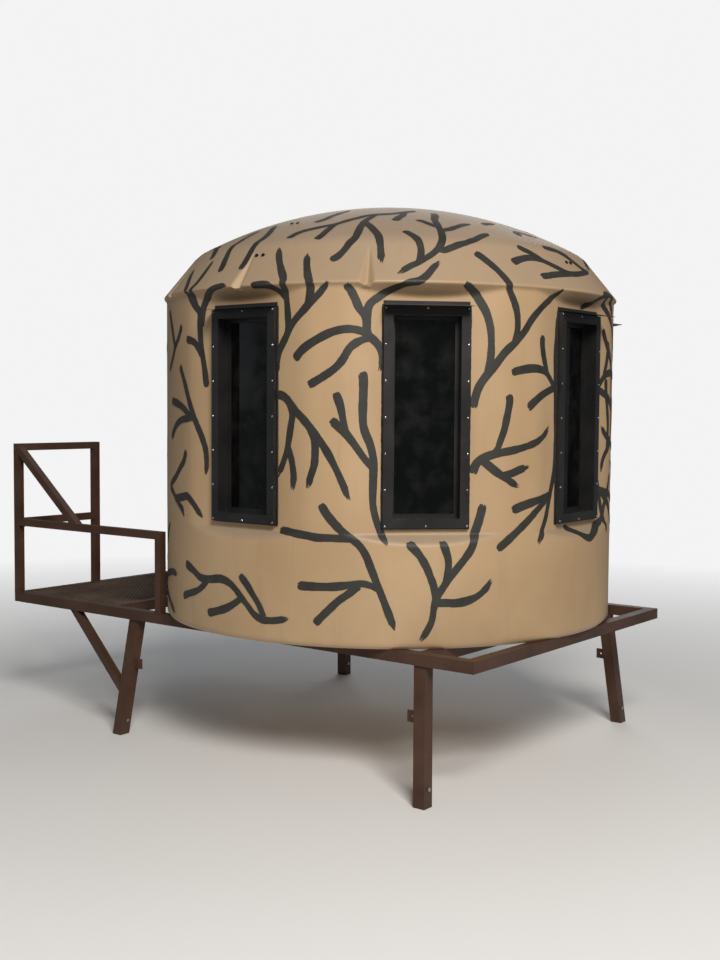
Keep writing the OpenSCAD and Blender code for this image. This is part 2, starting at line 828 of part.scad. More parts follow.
leg_piece(-leg_deck_x, -1, 1);  // leg_deck_left
leg_piece(leg_back_x, 1, -1);  // leg_back_right
leg_piece(leg_back_x, 1, 1);  // leg_back_left
leg_brace(-1);  // leg_brace_right
leg_brace(1);  // leg_brace_left
brace_tabs();
leg_bolts();
guard_posts(-1);  // guard_posts_right
guard_posts(1);  // guard_posts_left
guard_rails(-1);  // guard_rails_right
guard_rails(1);  // guard_rails_left
guard_brace(-1);  // guard_brace_right
guard_brace(1);  // guard_brace_left
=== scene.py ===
"""Looks of a tank-type field blind: moulded shell, painted branches, black windows, brown steel stand."""

import json
import logging
import math
from dataclasses import dataclass, field
from enum import Enum
from itertools import product
from typing import Any, Iterable, Sequence

import bmesh
import bpy
import numpy as np
from mathutils import Matrix, Vector


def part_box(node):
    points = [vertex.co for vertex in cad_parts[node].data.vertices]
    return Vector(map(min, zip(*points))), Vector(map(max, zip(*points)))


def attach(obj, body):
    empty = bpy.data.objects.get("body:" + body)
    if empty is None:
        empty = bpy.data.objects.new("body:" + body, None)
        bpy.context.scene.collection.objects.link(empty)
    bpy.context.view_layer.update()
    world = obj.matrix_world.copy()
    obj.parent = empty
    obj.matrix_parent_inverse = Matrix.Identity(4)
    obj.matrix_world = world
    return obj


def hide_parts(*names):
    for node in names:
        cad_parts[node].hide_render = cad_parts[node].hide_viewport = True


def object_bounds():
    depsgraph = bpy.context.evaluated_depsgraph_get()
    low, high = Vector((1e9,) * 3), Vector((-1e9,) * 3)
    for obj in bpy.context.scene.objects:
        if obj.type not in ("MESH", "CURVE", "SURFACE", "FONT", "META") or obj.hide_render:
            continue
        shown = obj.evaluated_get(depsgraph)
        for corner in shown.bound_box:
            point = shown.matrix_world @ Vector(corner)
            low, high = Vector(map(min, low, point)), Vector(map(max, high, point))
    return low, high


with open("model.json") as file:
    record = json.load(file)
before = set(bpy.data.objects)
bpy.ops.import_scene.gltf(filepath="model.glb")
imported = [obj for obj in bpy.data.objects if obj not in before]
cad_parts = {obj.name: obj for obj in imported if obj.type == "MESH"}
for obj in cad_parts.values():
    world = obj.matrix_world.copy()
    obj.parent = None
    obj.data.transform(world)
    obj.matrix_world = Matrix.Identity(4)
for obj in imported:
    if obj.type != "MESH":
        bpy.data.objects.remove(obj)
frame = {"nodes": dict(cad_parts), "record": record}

CAD_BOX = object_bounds()
LOG = logging.getLogger("field_blind")
RGB = tuple[int, int, int]
Route = Sequence[tuple[float, float]]
Ends = tuple[tuple[float, float], tuple[float, float]]
MM = 0.001
DOOR_FACING = 180.0


class Slot(Enum):
    """The material slots of the record."""

    SHELL = "tan_poly"
    DOOR = "door_poly"
    FLOOR = "floor_ply"
    GLASS = "tinted_glass"
    WINDOW = "window_black"
    PLASTIC = "black_plastic"
    SCREWS = "black_screws"
    SEAL = "seal_rubber"
    ZINC = "zinc"
    DOOR_STEEL = "door_black"
    DECK = "deck_steel"
    STEEL = "brown_steel"


class Facing(Enum):
    """Where each window faces, in degrees about the tank's axis."""

    RIGHT = 270.0
    BACK_RIGHT = 315.0
    BACK = 0.0
    BACK_LEFT = 45.0
    LEFT = 90.0


# ---- node trees ----


def feed(tree: bpy.types.NodeTree, place: bpy.types.NodeSocket, value: Any) -> None:
    """Links or sets one socket.

    Args:
        tree: the tree that holds it.
        place: the input.
        value: a Value, an output socket or a plain value.
    """
    if isinstance(value, Value):
        value = value.socket
    if isinstance(value, bpy.types.NodeSocket):
        tree.links.new(value, place)
    else:
        place.default_value = value


def add_node(tree: bpy.types.NodeTree, kind: str, settings: dict[str, Any] | None = None,
             sockets: dict[str | int, Any] | None = None) -> bpy.types.Node:
    """Adds any node.

    Args:
        tree: the tree to add it to.
        kind: the node's type.
        settings: its properties, which are set first.
        sockets: its inputs, by name or place.

    Returns:
        The node.
    """
    made = tree.nodes.new(kind)
    for key, value in (settings or {}).items():
        setattr(made, key, value)
    for key, value in (sockets or {}).items():
        feed(tree, made.inputs[key], value)
    return made


@dataclass(frozen=True)
class Value:
    """A shader socket that can stand in sums."""

    tree: bpy.types.NodeTree
    socket: bpy.types.NodeSocket

    def _math(self, operation: str, first: "Value | float", second: "Value | float") -> "Value":
        """Adds a Math node.

        Args:
            operation: the node's operation.
            first: its first value.
            second: its second value.

        Returns:
            The node's result.
        """
        node = add_node(self.tree, "ShaderNodeMath", {"operation": operation}, {0: first, 1: second})
        return Value(self.tree, node.outputs[0])

    def __add__(self, other: "Value | float") -> "Value":
        """self + other."""
        return self._math("ADD", self, other)

    __radd__ = __add__

    def __sub__(self, other: "Value | float") -> "Value":
        """self - other."""
        return self._math("SUBTRACT", self, other)

    def __rsub__(self, other: "Value | float") -> "Value":
        """other - self."""
        return self._math("SUBTRACT", other, self)

    def __mul__(self, other: "Value | float") -> "Value":
        """self * other."""
        return self._math("MULTIPLY", self, other)

    __rmul__ = __mul__

    def __truediv__(self, other: "Value | float") -> "Value":
        """self / other."""
        return self._math("DIVIDE", self, other)

    def __rtruediv__(self, other: "Value | float") -> "Value":
        """other / self."""
        return self._math("DIVIDE", other, self)

    def __pow__(self, other: "Value | float") -> "Value":
        """self to the power of other."""
        return self._math("POWER", self, other)

    def above(self, low: float, high: float) -> "Value":
        """Rises from 0 at low to 1 at high, and stays between them.

        Args:
            low: the value that gives 0.
            high: the value that gives 1.

        Returns:
            The mask.
        """
        scaled = (self - low) / (high - low)
        return scaled._math("MINIMUM", scaled._math("MAXIMUM", scaled, 0.0), 1.0)


def linear(colour: RGB) -> tuple[float, float, float, float]:
    """Turns an 8-bit display colour into a linear one.

    Args:
        colour: red, green and blue, 0 to 255.

    Returns:
        The linear colour with full alpha.
    """
    parts = [c / 255 for c in colour]
    red, green, blue = [p / 12.92 if p <= 0.04045 else ((p + 0.055) / 1.055) ** 2.4 for p in parts]
    return red, green, blue, 1.0


class ShaderRecipe:
    """One material while its nodes are put together."""

    def __init__(self, name: str) -> None:
        """Starts a material with a Principled shader.

        Args:
            name: the material's name.
        """
        self.material = bpy.data.materials.new(name)
        self.material.use_nodes = True
        self.tree = self.material.node_tree
        self.tree.nodes.clear()
        self.shader = self.node("ShaderNodeBsdfPrincipled")
        output = self.node("ShaderNodeOutputMaterial")
        self.tree.links.new(self.shader.outputs[0], output.inputs[0])

    def node(self, kind: str, settings: dict[str, Any] | None = None,
             sockets: dict[str | int, Any] | None = None) -> bpy.types.Node:
        """Adds any node to the material."""
        return add_node(self.tree, kind, settings, sockets)

    def value(self, node: bpy.types.Node, output: str | int = 0) -> Value:
        """Wraps a node's output for sums."""
        return Value(self.tree, node.outputs[output])

    def place(self, stretch: Sequence[float] = (1, 1, 1)) -> bpy.types.NodeSocket:
        """The point on the piece, with each axis scaled.

        Args:
            stretch: the three scales.

        Returns:
            A vector output.
        """
        point = self.node("ShaderNodeTexCoord").outputs["Object"]
        return self.node("ShaderNodeMapping", sockets={"Vector": point, "Scale": stretch}).outputs[0]

    def noise(self, scale: float, detail: float = 4, rough: float = 0.55,
              stretch: Sequence[float] = (1, 1, 1)) -> Value:
        """A noise over the piece.

        Args:
            scale: how fine it is, per metre.
            detail: its octaves.
            rough: how strong the fine octaves are.
            stretch: the scale of each axis.

        Returns:
            The noise, about 0 to 1.
        """
        sockets = {"Vector": self.place(stretch), "Scale": scale, "Detail": detail, "Roughness": rough}
        return self.value(self.node("ShaderNodeTexNoise", sockets=sockets))

    def blend(self, mask: Value, first: Any, second: Any) -> bpy.types.NodeSocket:
        """Mixes two colours.

        Args:
            mask: 0 gives the first and 1 the second.
            first: a colour or a link.
            second: a colour or a link.

        Returns:
            The mixed colour.
        """
        mix = self.node("ShaderNodeMix", {"data_type": "RGBA"}, {0: mask, 6: first, 7: second})
        return mix.outputs[2]

    def bump(self, height: Value, depth: float, strength: float = 1.0) -> None:
        """Feeds a bump to the shader.

        Args:
            height: the relief, 0 to 1.
            depth: its depth in metres.
            strength: how much of it shows.
        """
        sockets = {"Strength": strength, "Distance": depth, "Height": height}
        relief = self.node("ShaderNodeBump", sockets=sockets).outputs[0]
        feed(self.tree, self.shader.inputs["Normal"], relief)

    def shade(self, sockets: dict[str, Any]) -> bpy.types.Material:
        """Sets the shader's sockets.

        Args:
            sockets: values or links by socket name.

        Returns:
            The finished material.
        """
        for key, value in sockets.items():
            feed(self.tree, self.shader.inputs[key], value)
        return self.material


# ---- finishes ----


@dataclass(frozen=True)
class Finish:
    """A plain coated surface: two tones, a grain and a sheen."""

    name: str
    dark: RGB
    light: RGB
    roughness: float = 0.5
    metallic: float = 0.0
    grain: float = 90.0
    relief: float = 0.15
    level: float = 0.5

    def material(self) -> bpy.types.Material:
        """Builds the material.

        Returns:
            The material.
        """
        recipe = ShaderRecipe(self.name)
        patches = recipe.noise(5.0)
        grain = recipe.noise(self.grain, 3)
        tone = (patches * 0.65 + grain * 0.35).above(0.3, 0.7)
        recipe.bump(grain, self.relief * MM)
        return recipe.shade({
            "Base Color": recipe.blend(tone, linear(self.dark), linear(self.light)),
            "Roughness": patches * 0.24 + (self.roughness - 0.12),
            "Metallic": self.metallic,
            "Specular IOR Level": self.level,
        })


@dataclass(frozen=True)
class MouldedPlastic:
    """Rotationally moulded polyethylene: faint mottling, dust low down, a painted sky sheen that greys
    surfaces facing up, a waxy skin.
    """

    name: str
    body: RGB
    faded: RGB
    dust: RGB
    top_sheen: RGB
    foot: float
    dust_rise: float = 0.5

    def material(self) -> bpy.types.Material:
        """Builds the material.

        Returns:
            The material.
        """
        recipe = ShaderRecipe(self.name)
        clouds = recipe.noise(1.6, 3)
        pebble = recipe.noise(240.0, 2)
        ripple = recipe.noise(9.0, 2)
        runs = recipe.noise(7.0, 5, 0.6, (3.2, 3.2, 0.25))
        height = recipe.value(recipe.node("ShaderNodeSeparateXYZ", sockets={0: recipe.place()}), "Z")
        low = 1 - height.above(self.foot, self.foot + self.dust_rise)
        facing = recipe.node("ShaderNodeSeparateXYZ", sockets={
            0: recipe.node("ShaderNodeNewGeometry").outputs["Normal"]})
        skyward = recipe.value(facing, "Z").above(0.05, 0.95)
        body = recipe.blend(clouds.above(0.32, 0.68), linear(self.body), linear(self.faded))
        # painted sky sheen: surfaces that face up are mixed to a greyer, darker tone
        body = recipe.blend(skyward, body, linear(self.top_sheen))
        dirt = runs.above(0.56, 0.8) * 0.22 + low * ripple * 0.35
        recipe.bump(pebble * 0.35 + ripple * 0.65, 0.9 * MM, 0.5)
        return recipe.shade({
            "Base Color": recipe.blend(dirt, body, linear(self.dust)),
            "Roughness": pebble * 0.12 + clouds * 0.1 + 0.36,
            "Specular IOR Level": 0.42,
        })


@dataclass(frozen=True)
class PaintedSteel:
    """Brown paint over steel: uneven coat, small chips with rust."""

    name: str
    paint: RGB
    worn: RGB
    rust: RGB

    def material(self) -> bpy.types.Material:
        """Builds the material.

        Returns:
            The material.
        """
        recipe = ShaderRecipe(self.name)
        patches = recipe.noise(6.0, 5)
        peel = recipe.noise(130.0, 2)
        spots = recipe.noise(38.0, 6, 0.7)
        chips = spots.above(0.66, 0.69)
        coat = recipe.blend(patches.above(0.35, 0.7), linear(self.paint), linear(self.worn))
        recipe.bump(peel * 0.4 - chips * 0.6, 0.35 * MM)
        return recipe.shade({
            "Base Color": recipe.blend(chips, coat, linear(self.rust)),
            "Roughness": patches * 0.2 + chips * 0.35 + 0.36,
            "Specular IOR Level": 0.3,
        })


@dataclass(frozen=True)
class BrushPaint:
    """Matt paint laid with a wide brush, with dry streaks at the ends of a stroke."""

    name: str
    thick: RGB
    thin: RGB

    def material(self) -> bpy.types.Material:
        """Builds the material, which reads the stroke's own along and across values.

        Returns:
            The material.
        """
        recipe = ShaderRecipe(self.name)
        marks = {name: recipe.node("ShaderNodeAttribute", {"attribute_name": name})
                 for name in ("along", "across", "dry")}
        along, across, dry = [recipe.value(marks[n], "Fac") for n in ("along", "across", "dry")]
        lane = recipe.node("ShaderNodeCombineXYZ", sockets={0: along * 9.0, 1: across * 2.6, 2: 0.0})
        hairs = recipe.value(recipe.node("ShaderNodeTexNoise", sockets={
            "Vector": lane.outputs[0], "Scale": 1.0, "Detail": 3.0}))
        body = recipe.noise(14.0, 3)
        recipe.bump(hairs, 0.4 * MM)
        return recipe.shade({
            "Base Color": recipe.blend(body.above(0.3, 0.75), linear(self.thick), linear(self.thin)),
            "Roughness": hairs * 0.2 + 0.45,
            "Alpha": (hairs - dry * 0.75 + 0.22).above(0.18, 0.26),
        })


@dataclass(frozen=True)
class Plywood:
    """Sanded plywood with long grain."""

    name: str
    dark: RGB
    light: RGB

    def material(self) -> bpy.types.Material:
        """Builds the material.

        Returns:
            The material.
        """
        recipe = ShaderRecipe(self.name)
        grain = recipe.noise(4.0, 7, 0.65, (1.0, 16.0, 16.0))
        recipe.bump(grain, 0.3 * MM)
        return recipe.shade({
            "Base Color": recipe.blend(grain.above(0.35, 0.65), linear(self.dark), linear(self.light)),
            "Roughness": grain * 0.2 + 0.5,
        })


@dataclass(frozen=True)
class DarkGlass:
    """A tinted pane with a film of dust."""

    name: str
    tint: RGB
    film: RGB
    cover: float = 0.88

    def material(self) -> bpy.types.Material:
        """Builds the material.

        Returns:
            The material.
        """
        recipe = ShaderRecipe(self.name)
        film = recipe.noise(11.0, 6, 0.6).above(0.45, 0.8)
        return recipe.shade({
            "Base Color": recipe.blend(film * 0.25, linear(self.tint), linear(self.film)),
            "Roughness": film * 0.14 + 0.05,
            "Alpha": film * 0.06 + self.cover,
            "Specular IOR Level": 0.5,
        })


@dataclass(frozen=True)
class PaleFloor:
    """A pale floor that fades into the air far from the middle."""

    name: str
    tone: RGB
    near: float
    far: float

    def material(self) -> bpy.types.Material:
        """Builds the material.

        Returns:
            The material.
        """
        recipe = ShaderRecipe(self.name)
        apart = recipe.node("ShaderNodeSeparateXYZ", sockets={0: recipe.place()})
        x, y = recipe.value(apart, "X"), recipe.value(apart, "Y")
        away = (x * x + y * y) ** 0.5
        return recipe.shade({
            "Base Color": linear(self.tone),
            "Roughness": 0.85,
            "Alpha": 1 - away.above(self.near, self.far),
        })


class Paintbox:
    """Every material of the blind, one for each slot, and a few of their own."""

    def __init__(self, foot: float) -> None:
        """Builds the materials.

        Args:
            foot: height of the tank's bottom, where dust starts.
        """
        # body, faded and dust tones, then the greyer tone that paints sky sheen on up-facing surfaces
        tan = ((183, 153, 116), (197, 167, 130), (146, 124, 96), (160, 141, 120))
        self.by_slot: dict[Slot, bpy.types.Material] = {
            Slot.SHELL: MouldedPlastic("moulded_tan", *tan, foot).material(),
            Slot.DOOR: MouldedPlastic("moulded_door", *tan, foot).material(),
            Slot.FLOOR: Plywood("plywood_floor", (126, 96, 62), (176, 143, 100)).material(),
            Slot.GLASS: DarkGlass("tinted_glass", (6, 8, 8), (70, 70, 67)).material(),
            Slot.WINDOW: Finish("window_black", (24, 24, 25), (43, 42, 42), 0.36).material(),
            Slot.PLASTIC: Finish("black_plastic", (22, 22, 22), (38, 38, 38), 0.5).material(),
            Slot.SCREWS: Finish("black_screws", (20, 20, 21), (52, 51, 50), 0.34, 0.6).material(),
            Slot.SEAL: Finish("seal_rubber", (16, 16, 16), (32, 32, 31), 0.62, grain=160.0).material(),
            Slot.ZINC: Finish("zinc_plate", (132, 131, 126), (196, 195, 190), 0.32, 0.9).material(),
            Slot.DOOR_STEEL: Finish("door_black", (26, 26, 27), (46, 45, 44), 0.42).material(),
            Slot.DECK: PaintedSteel("deck_paint", (74, 60, 50), (95, 80, 68), (88, 55, 36)).material(),
            Slot.STEEL: PaintedSteel("stand_paint", (67, 46, 35), (84, 60, 48), (96, 58, 36)).material(),
        }
        self.brush = BrushPaint("branch_paint", (44, 43, 40), (57, 56, 51)).material()
        # screw heads coloured light grey: painted glints on the black window screws
        self.heads = Finish("glint_screws", (120, 120, 118), (205, 205, 200), 0.26, 0.85).material()
        self.mitre = Finish("mitre_gap", (8, 8, 8), (14, 14, 14), 0.8).material()
        self.backdrop = PaleFloor("pale_floor", (243, 243, 242), 2.2, 7.5).material()

    def dress_frame(self) -> None:
        """Gives every CAD node the material of its slot, and paints the tube caps with the stand."""
        slots = {part["node"]: Slot(part["material_slot"]) for part in frame["record"]["subparts"]}
        for name, slot in (slots | {"tube_caps": Slot.STEEL}).items():
            materials = frame["nodes"][name].data.materials
            materials.clear()
            materials.append(self.by_slot[slot])


# ---- building pieces ----


def piece(name: str, data: bpy.types.ID) -> bpy.types.Object:
    """Puts a mesh, a lamp or a camera in the scene as an object at the origin.

    Args:
        name: the object's name.
        data: its mesh, lamp or camera.

    Returns:
        The object.
    """
    made = bpy.data.objects.new(name, data)
    bpy.context.scene.collection.objects.link(made)
    return made


def evaluated_mesh(made: bpy.types.Object) -> bpy.types.Mesh:
    """The mesh that an object's modifiers give, as a new mesh."""
    seen = made.evaluated_get(bpy.context.evaluated_depsgraph_get())
    return bpy.data.meshes.new_from_object(seen)


def mesh_of(name: str, points: Iterable[Sequence[float]],
            faces: Iterable[Sequence[int]] = (), edges: Iterable[Sequence[int]] = ()) -> bpy.types.Mesh:
    """Makes a mesh from plain lists.

    Args:
        name: the mesh's name.
        points: its vertices.
        faces: its faces.
        edges: its loose edges.

    Returns:
        The mesh.
    """
    mesh = bpy.data.meshes.new(name)
    mesh.from_pydata([tuple(map(float, p)) for p in points], list(edges), list(faces))
    mesh.update()
    return mesh


def finish_piece(made: bpy.types.Object, body: str, slot: Slot, *nodes: str) -> bpy.types.Object:
    """Says what a piece rides on and hides the nodes that it stands for.

    Args:
        made: the piece.
        body: the CAD body that carries it.
        slot: the slot that its finish comes from; not used.
        *nodes: the CAD nodes that it replaces.

    Returns:
        The piece.
    """
    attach(made, body)
    if nodes:
        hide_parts(*nodes)
    LOG.info("%s: %d faces on %s", made.name, len(made.data.polygons), body)
    return made


class GeometryRecipe:
    """One Geometry Nodes tree, run once on a carrier and turned into a plain mesh."""

    KINDS = {float: "NodeSocketFloat", int: "NodeSocketInt",
             bpy.types.Material: "NodeSocketMaterial", bpy.types.Object: "NodeSocketObject"}

    def __init__(self, name: str, sizes: dict[str, Any]) -> None:
        """Starts a tree with named inputs.

        Args:
            name: the tree's name.
            sizes: the inputs' names and values.
        """
        self.tree = bpy.data.node_groups.new(name, "GeometryNodeTree")
        face = self.tree.interface
        face.new_socket("Geometry", in_out="INPUT", socket_type="NodeSocketGeometry")
        face.new_socket("Geometry", in_out="OUTPUT", socket_type="NodeSocketGeometry")
        self.values: dict[str, Any] = {}
        for key, value in sizes.items():
            kind = next(k for t, k in self.KINDS.items() if isinstance(value, t))
            self.values[face.new_socket(key, in_out="INPUT", socket_type=kind).identifier] = value
        self.source = self.tree.nodes.new("NodeGroupInput")

    def size(self, name: str) -> bpy.types.NodeSocket:
        """A named input of the tree."""
        return self.source.outputs[name]

    def node(self, kind: str, settings: dict[str, Any] | None = None,
             sockets: dict[str | int, Any] | None = None, output: str | int = 0) -> bpy.types.NodeSocket:
        """Adds a node.

        Args:
            kind: the node's type.
            settings: its properties, which are set first.
            sockets: its inputs, by name or place.
            output: the output wanted.

        Returns:
            That output.
        """
        return add_node(self.tree, kind, settings, sockets).outputs[output]

    def math(self, operation: str, *values: Any) -> bpy.types.NodeSocket:
        """A Math node of these values."""
        return self.node("ShaderNodeMath", {"operation": operation}, dict(enumerate(values)))

    def vector(self, **parts: Any) -> bpy.types.NodeSocket:
        """A vector of the parts given, with 0 for the others."""
        return self.node("ShaderNodeCombineXYZ", sockets=parts)

    def run(self, carrier: bpy.types.Mesh, result: bpy.types.NodeSocket, name: str) -> bpy.types.Object:
        """Closes the tree, runs it and keeps the result as a plain mesh.

        Args:
            carrier: the mesh that the tree starts from.
            result: the geometry to finish.
            name: the name of the new piece.

        Returns:
            The piece, with no modifier.
        """
        real = self.node("GeometryNodeRealizeInstances", sockets={0: result})
        dressed = self.node("GeometryNodeSetMaterial",
                            sockets={"Geometry": real, "Material": self.size("Finish")})
        self.tree.links.new(dressed, self.tree.nodes.new("NodeGroupOutput").inputs[0])
        holder = piece(name + "_carrier", carrier)
        modifier = holder.modifiers.new("build", "NODES")
        modifier.node_group = self.tree
        for identifier, value in self.values.items():
            modifier[identifier] = value
        mesh = evaluated_mesh(holder)
        mesh.name = name
        holder.modifiers.remove(modifier)
        bpy.data.objects.remove(holder)
        return piece(name, mesh)


@dataclass
class Beads:
    """Hand-run beads of sealant or weld along closed loops."""

    name: str
    slot: Slot
    radius: float
    wander: float
    step: float
    loops: list[list[Vector]] = field(default_factory=list)
    lumps: float = 45.0
    sides: int = 7

    def build(self, finish: bpy.types.Material) -> bpy.types.Object:
        """Makes all the loops one piece.

        Args:
            finish: its material.

        Returns:
            The piece, riding on the blind.
        """
        points = [p for loop in self.loops for p in loop]
        edges: list[tuple[int, int]] = []
        for loop in self.loops:
            start = len(edges)
            edges += [(start + i, start + (i + 1) % len(loop)) for i in range(len(loop))]
        recipe = GeometryRecipe(self.name, {
            "Radius": self.radius, "Wander": self.wander, "Step": self.step, "Finish": finish})
        path = recipe.node("GeometryNodeMeshToCurve", sockets={0: recipe.source.outputs[0]})
        path = recipe.node("GeometryNodeResampleCurve", {"mode": "LENGTH"},
                           {"Curve": path, "Length": recipe.size("Step")})
        lumps = recipe.node("ShaderNodeTexNoise", {"noise_dimensions": "3D"},
                            {"Scale": self.lumps, "Detail": 2.0})
        swell = recipe.math("MULTIPLY_ADD", lumps, recipe.size("Wander"), recipe.size("Radius"))
        path = recipe.node("GeometryNodeSetCurveRadius", sockets={"Curve": path, "Radius": swell})
        ring = recipe.node("GeometryNodeCurvePrimitiveCircle", sockets={
            "Resolution": self.sides, "Radius": 1.0})
        tube = recipe.node("GeometryNodeCurveToMesh", sockets={
            "Curve": path, "Profile Curve": ring, "Scale": recipe.node("GeometryNodeInputRadius")})
        smooth = recipe.node("GeometryNodeSetShadeSmooth", sockets={0: tube})
        made = recipe.run(mesh_of(self.name, points, edges=edges), smooth, self.name)
        return finish_piece(made, "blind", self.slot)


# ---- the moulded shell ----


def soft_least(a: np.ndarray, b: np.ndarray, k: float) -> np.ndarray:
    """The lesser of two values, rounded over k.

    Args:
        a: first values.
        b: second values.
        k: how wide the rounding is.

    Returns:
        The rounded minimum.
    """
    near = np.maximum(k - np.abs(a - b), 0) / k
    return np.minimum(a, b) - near * near * k / 4


def turned_from(angle: Any, facing: float) -> Any:
    """How far an angle lies from a direction, in degrees from -180 to 180."""
    return (angle - facing + 180) % 360 - 180


@dataclass
class Shell:
    """The moulding, worked out as one smooth skin about the tank's axis, in metres."""

    paints: Paintbox
    wall_height: float = 1539 * MM
    lip_out: float = 16 * MM
    lip_under: float = 57 * MM
    band_height: float = 198 * MM
    band_width: float = 160 * MM
    flat_depth: float = 50 * MM
    flat_low: float = 484 * MM
    door_flat_low: float = 42 * MM
    flat_slope: float = 41 * MM
    groove_depth: float = 38 * MM
    groove_step: float = 31.5
    groove_length: float = 0.91
    groove_reach: float = 0.2
    groove_round: float = 2.5 * MM
    groove_back: float = 30 * MM
    wall: float = 9.5 * MM
    chamfer: float = 14 * MM
    lip_round: float = 11 * MM
    soft: float = 17 * MM
    door_soft: float = 5 * MM
    column: float = 1.5
    closest: float = 0.14
    row: float = 0.055
    crease_row: float = 0.006
    lip_row: float = 0.0055
    lip_steps: int = 6
    band_steps: int = 15
    crown_steps: int = 26
    bottom_rings: tuple[float, ...] = (0.03, 0.35, 0.7, 0.93)

    def __post_init__(self) -> None:
        """Reads the tank's place and overall size from the frame."""
        low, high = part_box("tank_shell")
        self.axis = Vector(((low.x + high.x) / 2, (low.y + high.y) / 2, low.z))
        self.height = high.z - low.z
        self.lip_r = (high.x - low.x) / 2
        self.tank_r = self.lip_r - self.lip_out
        self.flat_r = self.tank_r - self.flat_depth
        self.band_r = self.lip_r - self.band_width
        rise = self.height - self.wall_height - self.band_height
        self.crown_r = (self.band_r ** 2 + rise ** 2) / (2 * rise)
        self.flats = [DOOR_FACING, *(facing.value for facing in Facing)]
        self.grooves = [270 + k * self.groove_step for k in (-1, 0, 1)]
        self.grooves += [90 + k * self.groove_step for k in (-1, 0, 1)]

    def wall_radius(self, angle: np.ndarray, z: np.ndarray) -> np.ndarray:
        """How far the wall stands from the axis.

        Args:
            angle: degrees about the axis.
            z: heights above the tank's bottom, up to the lip.

        Returns:
            The radii.
        """
        round_wall = self.tank_r - np.maximum(self.chamfer - z, 0) * 0.8
        radius = round_wall + 0 * angle
        for facing in self.flats:
            low, soft = self.flat_low, self.soft
            if facing == DOOR_FACING:
                low, soft = self.door_flat_low, self.door_soft
            off = turned_from(angle, facing)
            swell = np.maximum(low - z, 0) * self.flat_depth / self.flat_slope
            plane = (self.flat_r + swell) / np.cos(np.radians(np.clip(off, -60, 60)))
            radius = soft_least(radius, np.where(np.abs(off) < 60, plane, 9.0), soft)
        fall = (self.flat_depth + self.lip_out) / self.lip_under
        under = self.flat_r + (z - self.wall_height + self.lip_under) * fall
        return -soft_least(-radius, -under, 10 * MM)

    def meridian(self) -> list[tuple[float, float]]:
        """The roof's outline from the lip to the pole.

        Returns:
            Radius and height pairs.
        """
        lip = Vector((self.lip_r, self.wall_height))
        down = Vector((self.flat_depth + self.lip_out, self.lip_under)).normalized()
        up = Vector((-self.band_width, self.band_height)).normalized()
        reach = self.lip_round * math.tan(down.angle(up) / 2)
        points: list[tuple[float, float]] = []
        for k in range(self.lip_steps + 1):
            t = k / self.lip_steps
            bend = (lip - down * reach) * (1 - t) ** 2 + lip * 2 * t * (1 - t) + (lip + up * reach) * t ** 2
            points.append((bend.x, bend.y))
        for t in np.linspace(0.1, 0.92, self.band_steps):
            corner = lip + up * self.band_width / -up.x * float(t)
            points.append((corner.x, corner.y))
        centre = self.height - self.crown_r
        edge = math.asin(self.band_r / self.crown_r)
        for t in np.linspace(0.985, 0.02, self.crown_steps):
            points.append((self.crown_r * math.sin(edge * t), centre + self.crown_r * math.cos(edge * t)))
        return points

    def grooved(self, angle: float, r: float, z: float) -> tuple[float, float]:
        """Sinks a roof point into the nearest V groove.

        Args:
            angle: degrees about the axis.
            r: the point's radius.
            z: its height.

        Returns:
            The new radius and height.
        """
        share = self.groove_length
        start = Vector((self.lip_r - self.band_width * share, self.wall_height + self.band_height * share))
        run = (Vector((self.lip_r - self.groove_depth, self.wall_height)) - start).normalized()
        out = Vector((-run.y, run.x))
        for groove in self.grooves:
            off = math.radians(turned_from(angle, groove))
            if abs(off) > self.groove_reach:
                continue
            side = r * math.sin(off)
            spot = Vector((r * math.cos(off), z))
            depth = (spot - start).dot(out)
            sink = depth - math.hypot(side, self.groove_round)
            if sink > 0 and (spot - start).dot(run) > -self.groove_back:
                spot -= out * sink
                return math.hypot(spot.x, side), spot.y
        return r, z

    def spots(self, angle: np.ndarray, z: np.ndarray) -> np.ndarray:
        """Points of the wall or the roof.

        Args:
            angle: degrees about the axis.
            z: heights above the tank's bottom.

        Returns:
            The points in the row frame, one to a row.
        """
        outline = np.array(self.meridian())
        radius = np.where(z > outline[0, 1], np.interp(z, outline[:, 1], outline[:, 0]),
                          self.wall_radius(angle, np.minimum(z, self.wall_height)))
        turn = np.radians(angle)
        return np.stack([radius * np.cos(turn), radius * np.sin(turn), z], -1) + np.array(self.axis)

    def slopes(self, angle: np.ndarray, z: np.ndarray) -> tuple[np.ndarray, np.ndarray]:
        """How a point moves along the skin.

        Args:
            angle: degrees about the axis.
            z: heights above the tank's bottom.

        Returns:
            The moves for one degree and for one metre of height.
        """
        turn, rise = 0.2, 2 * MM
        across = (self.spots(angle + turn, z) - self.spots(angle - turn, z)) / (2 * turn)
        upward = (self.spots(angle, z + rise) - self.spots(angle, z - rise)) / (2 * rise)
        return across, upward

    def angles(self) -> np.ndarray:
        """The skin's columns, closer where it bends.

        Returns:
            Sorted angles in degrees.
        """
        lines = list(np.arange(0, 360, self.column))
        bend = math.degrees(math.acos(self.flat_r / self.tank_r))
        for facing in self.flats:
            for side in (-1, 1):
                lines += list(facing + side * bend + np.arange(-1.2, 1.3, 0.4))
        for groove in self.grooves:
            lines += list(groove + np.arange(-2.1, 2.2, 0.3))
        fixed = [facing + side * math.degrees(math.atan(half / self.flat_r))
                 for facing, (half, _, _) in self.holes().items() for side in (-1, 1)]
        lines = sorted({round(a % 360, 4) for a in lines + fixed})
        keep = {round(a % 360, 4) for a in fixed}
        kept = [lines[0]]
        for a in lines[1:]:
            if a - kept[-1] > self.closest:
                kept.append(a)
            elif a in keep:
                kept[-1] = a
        return np.array(kept)

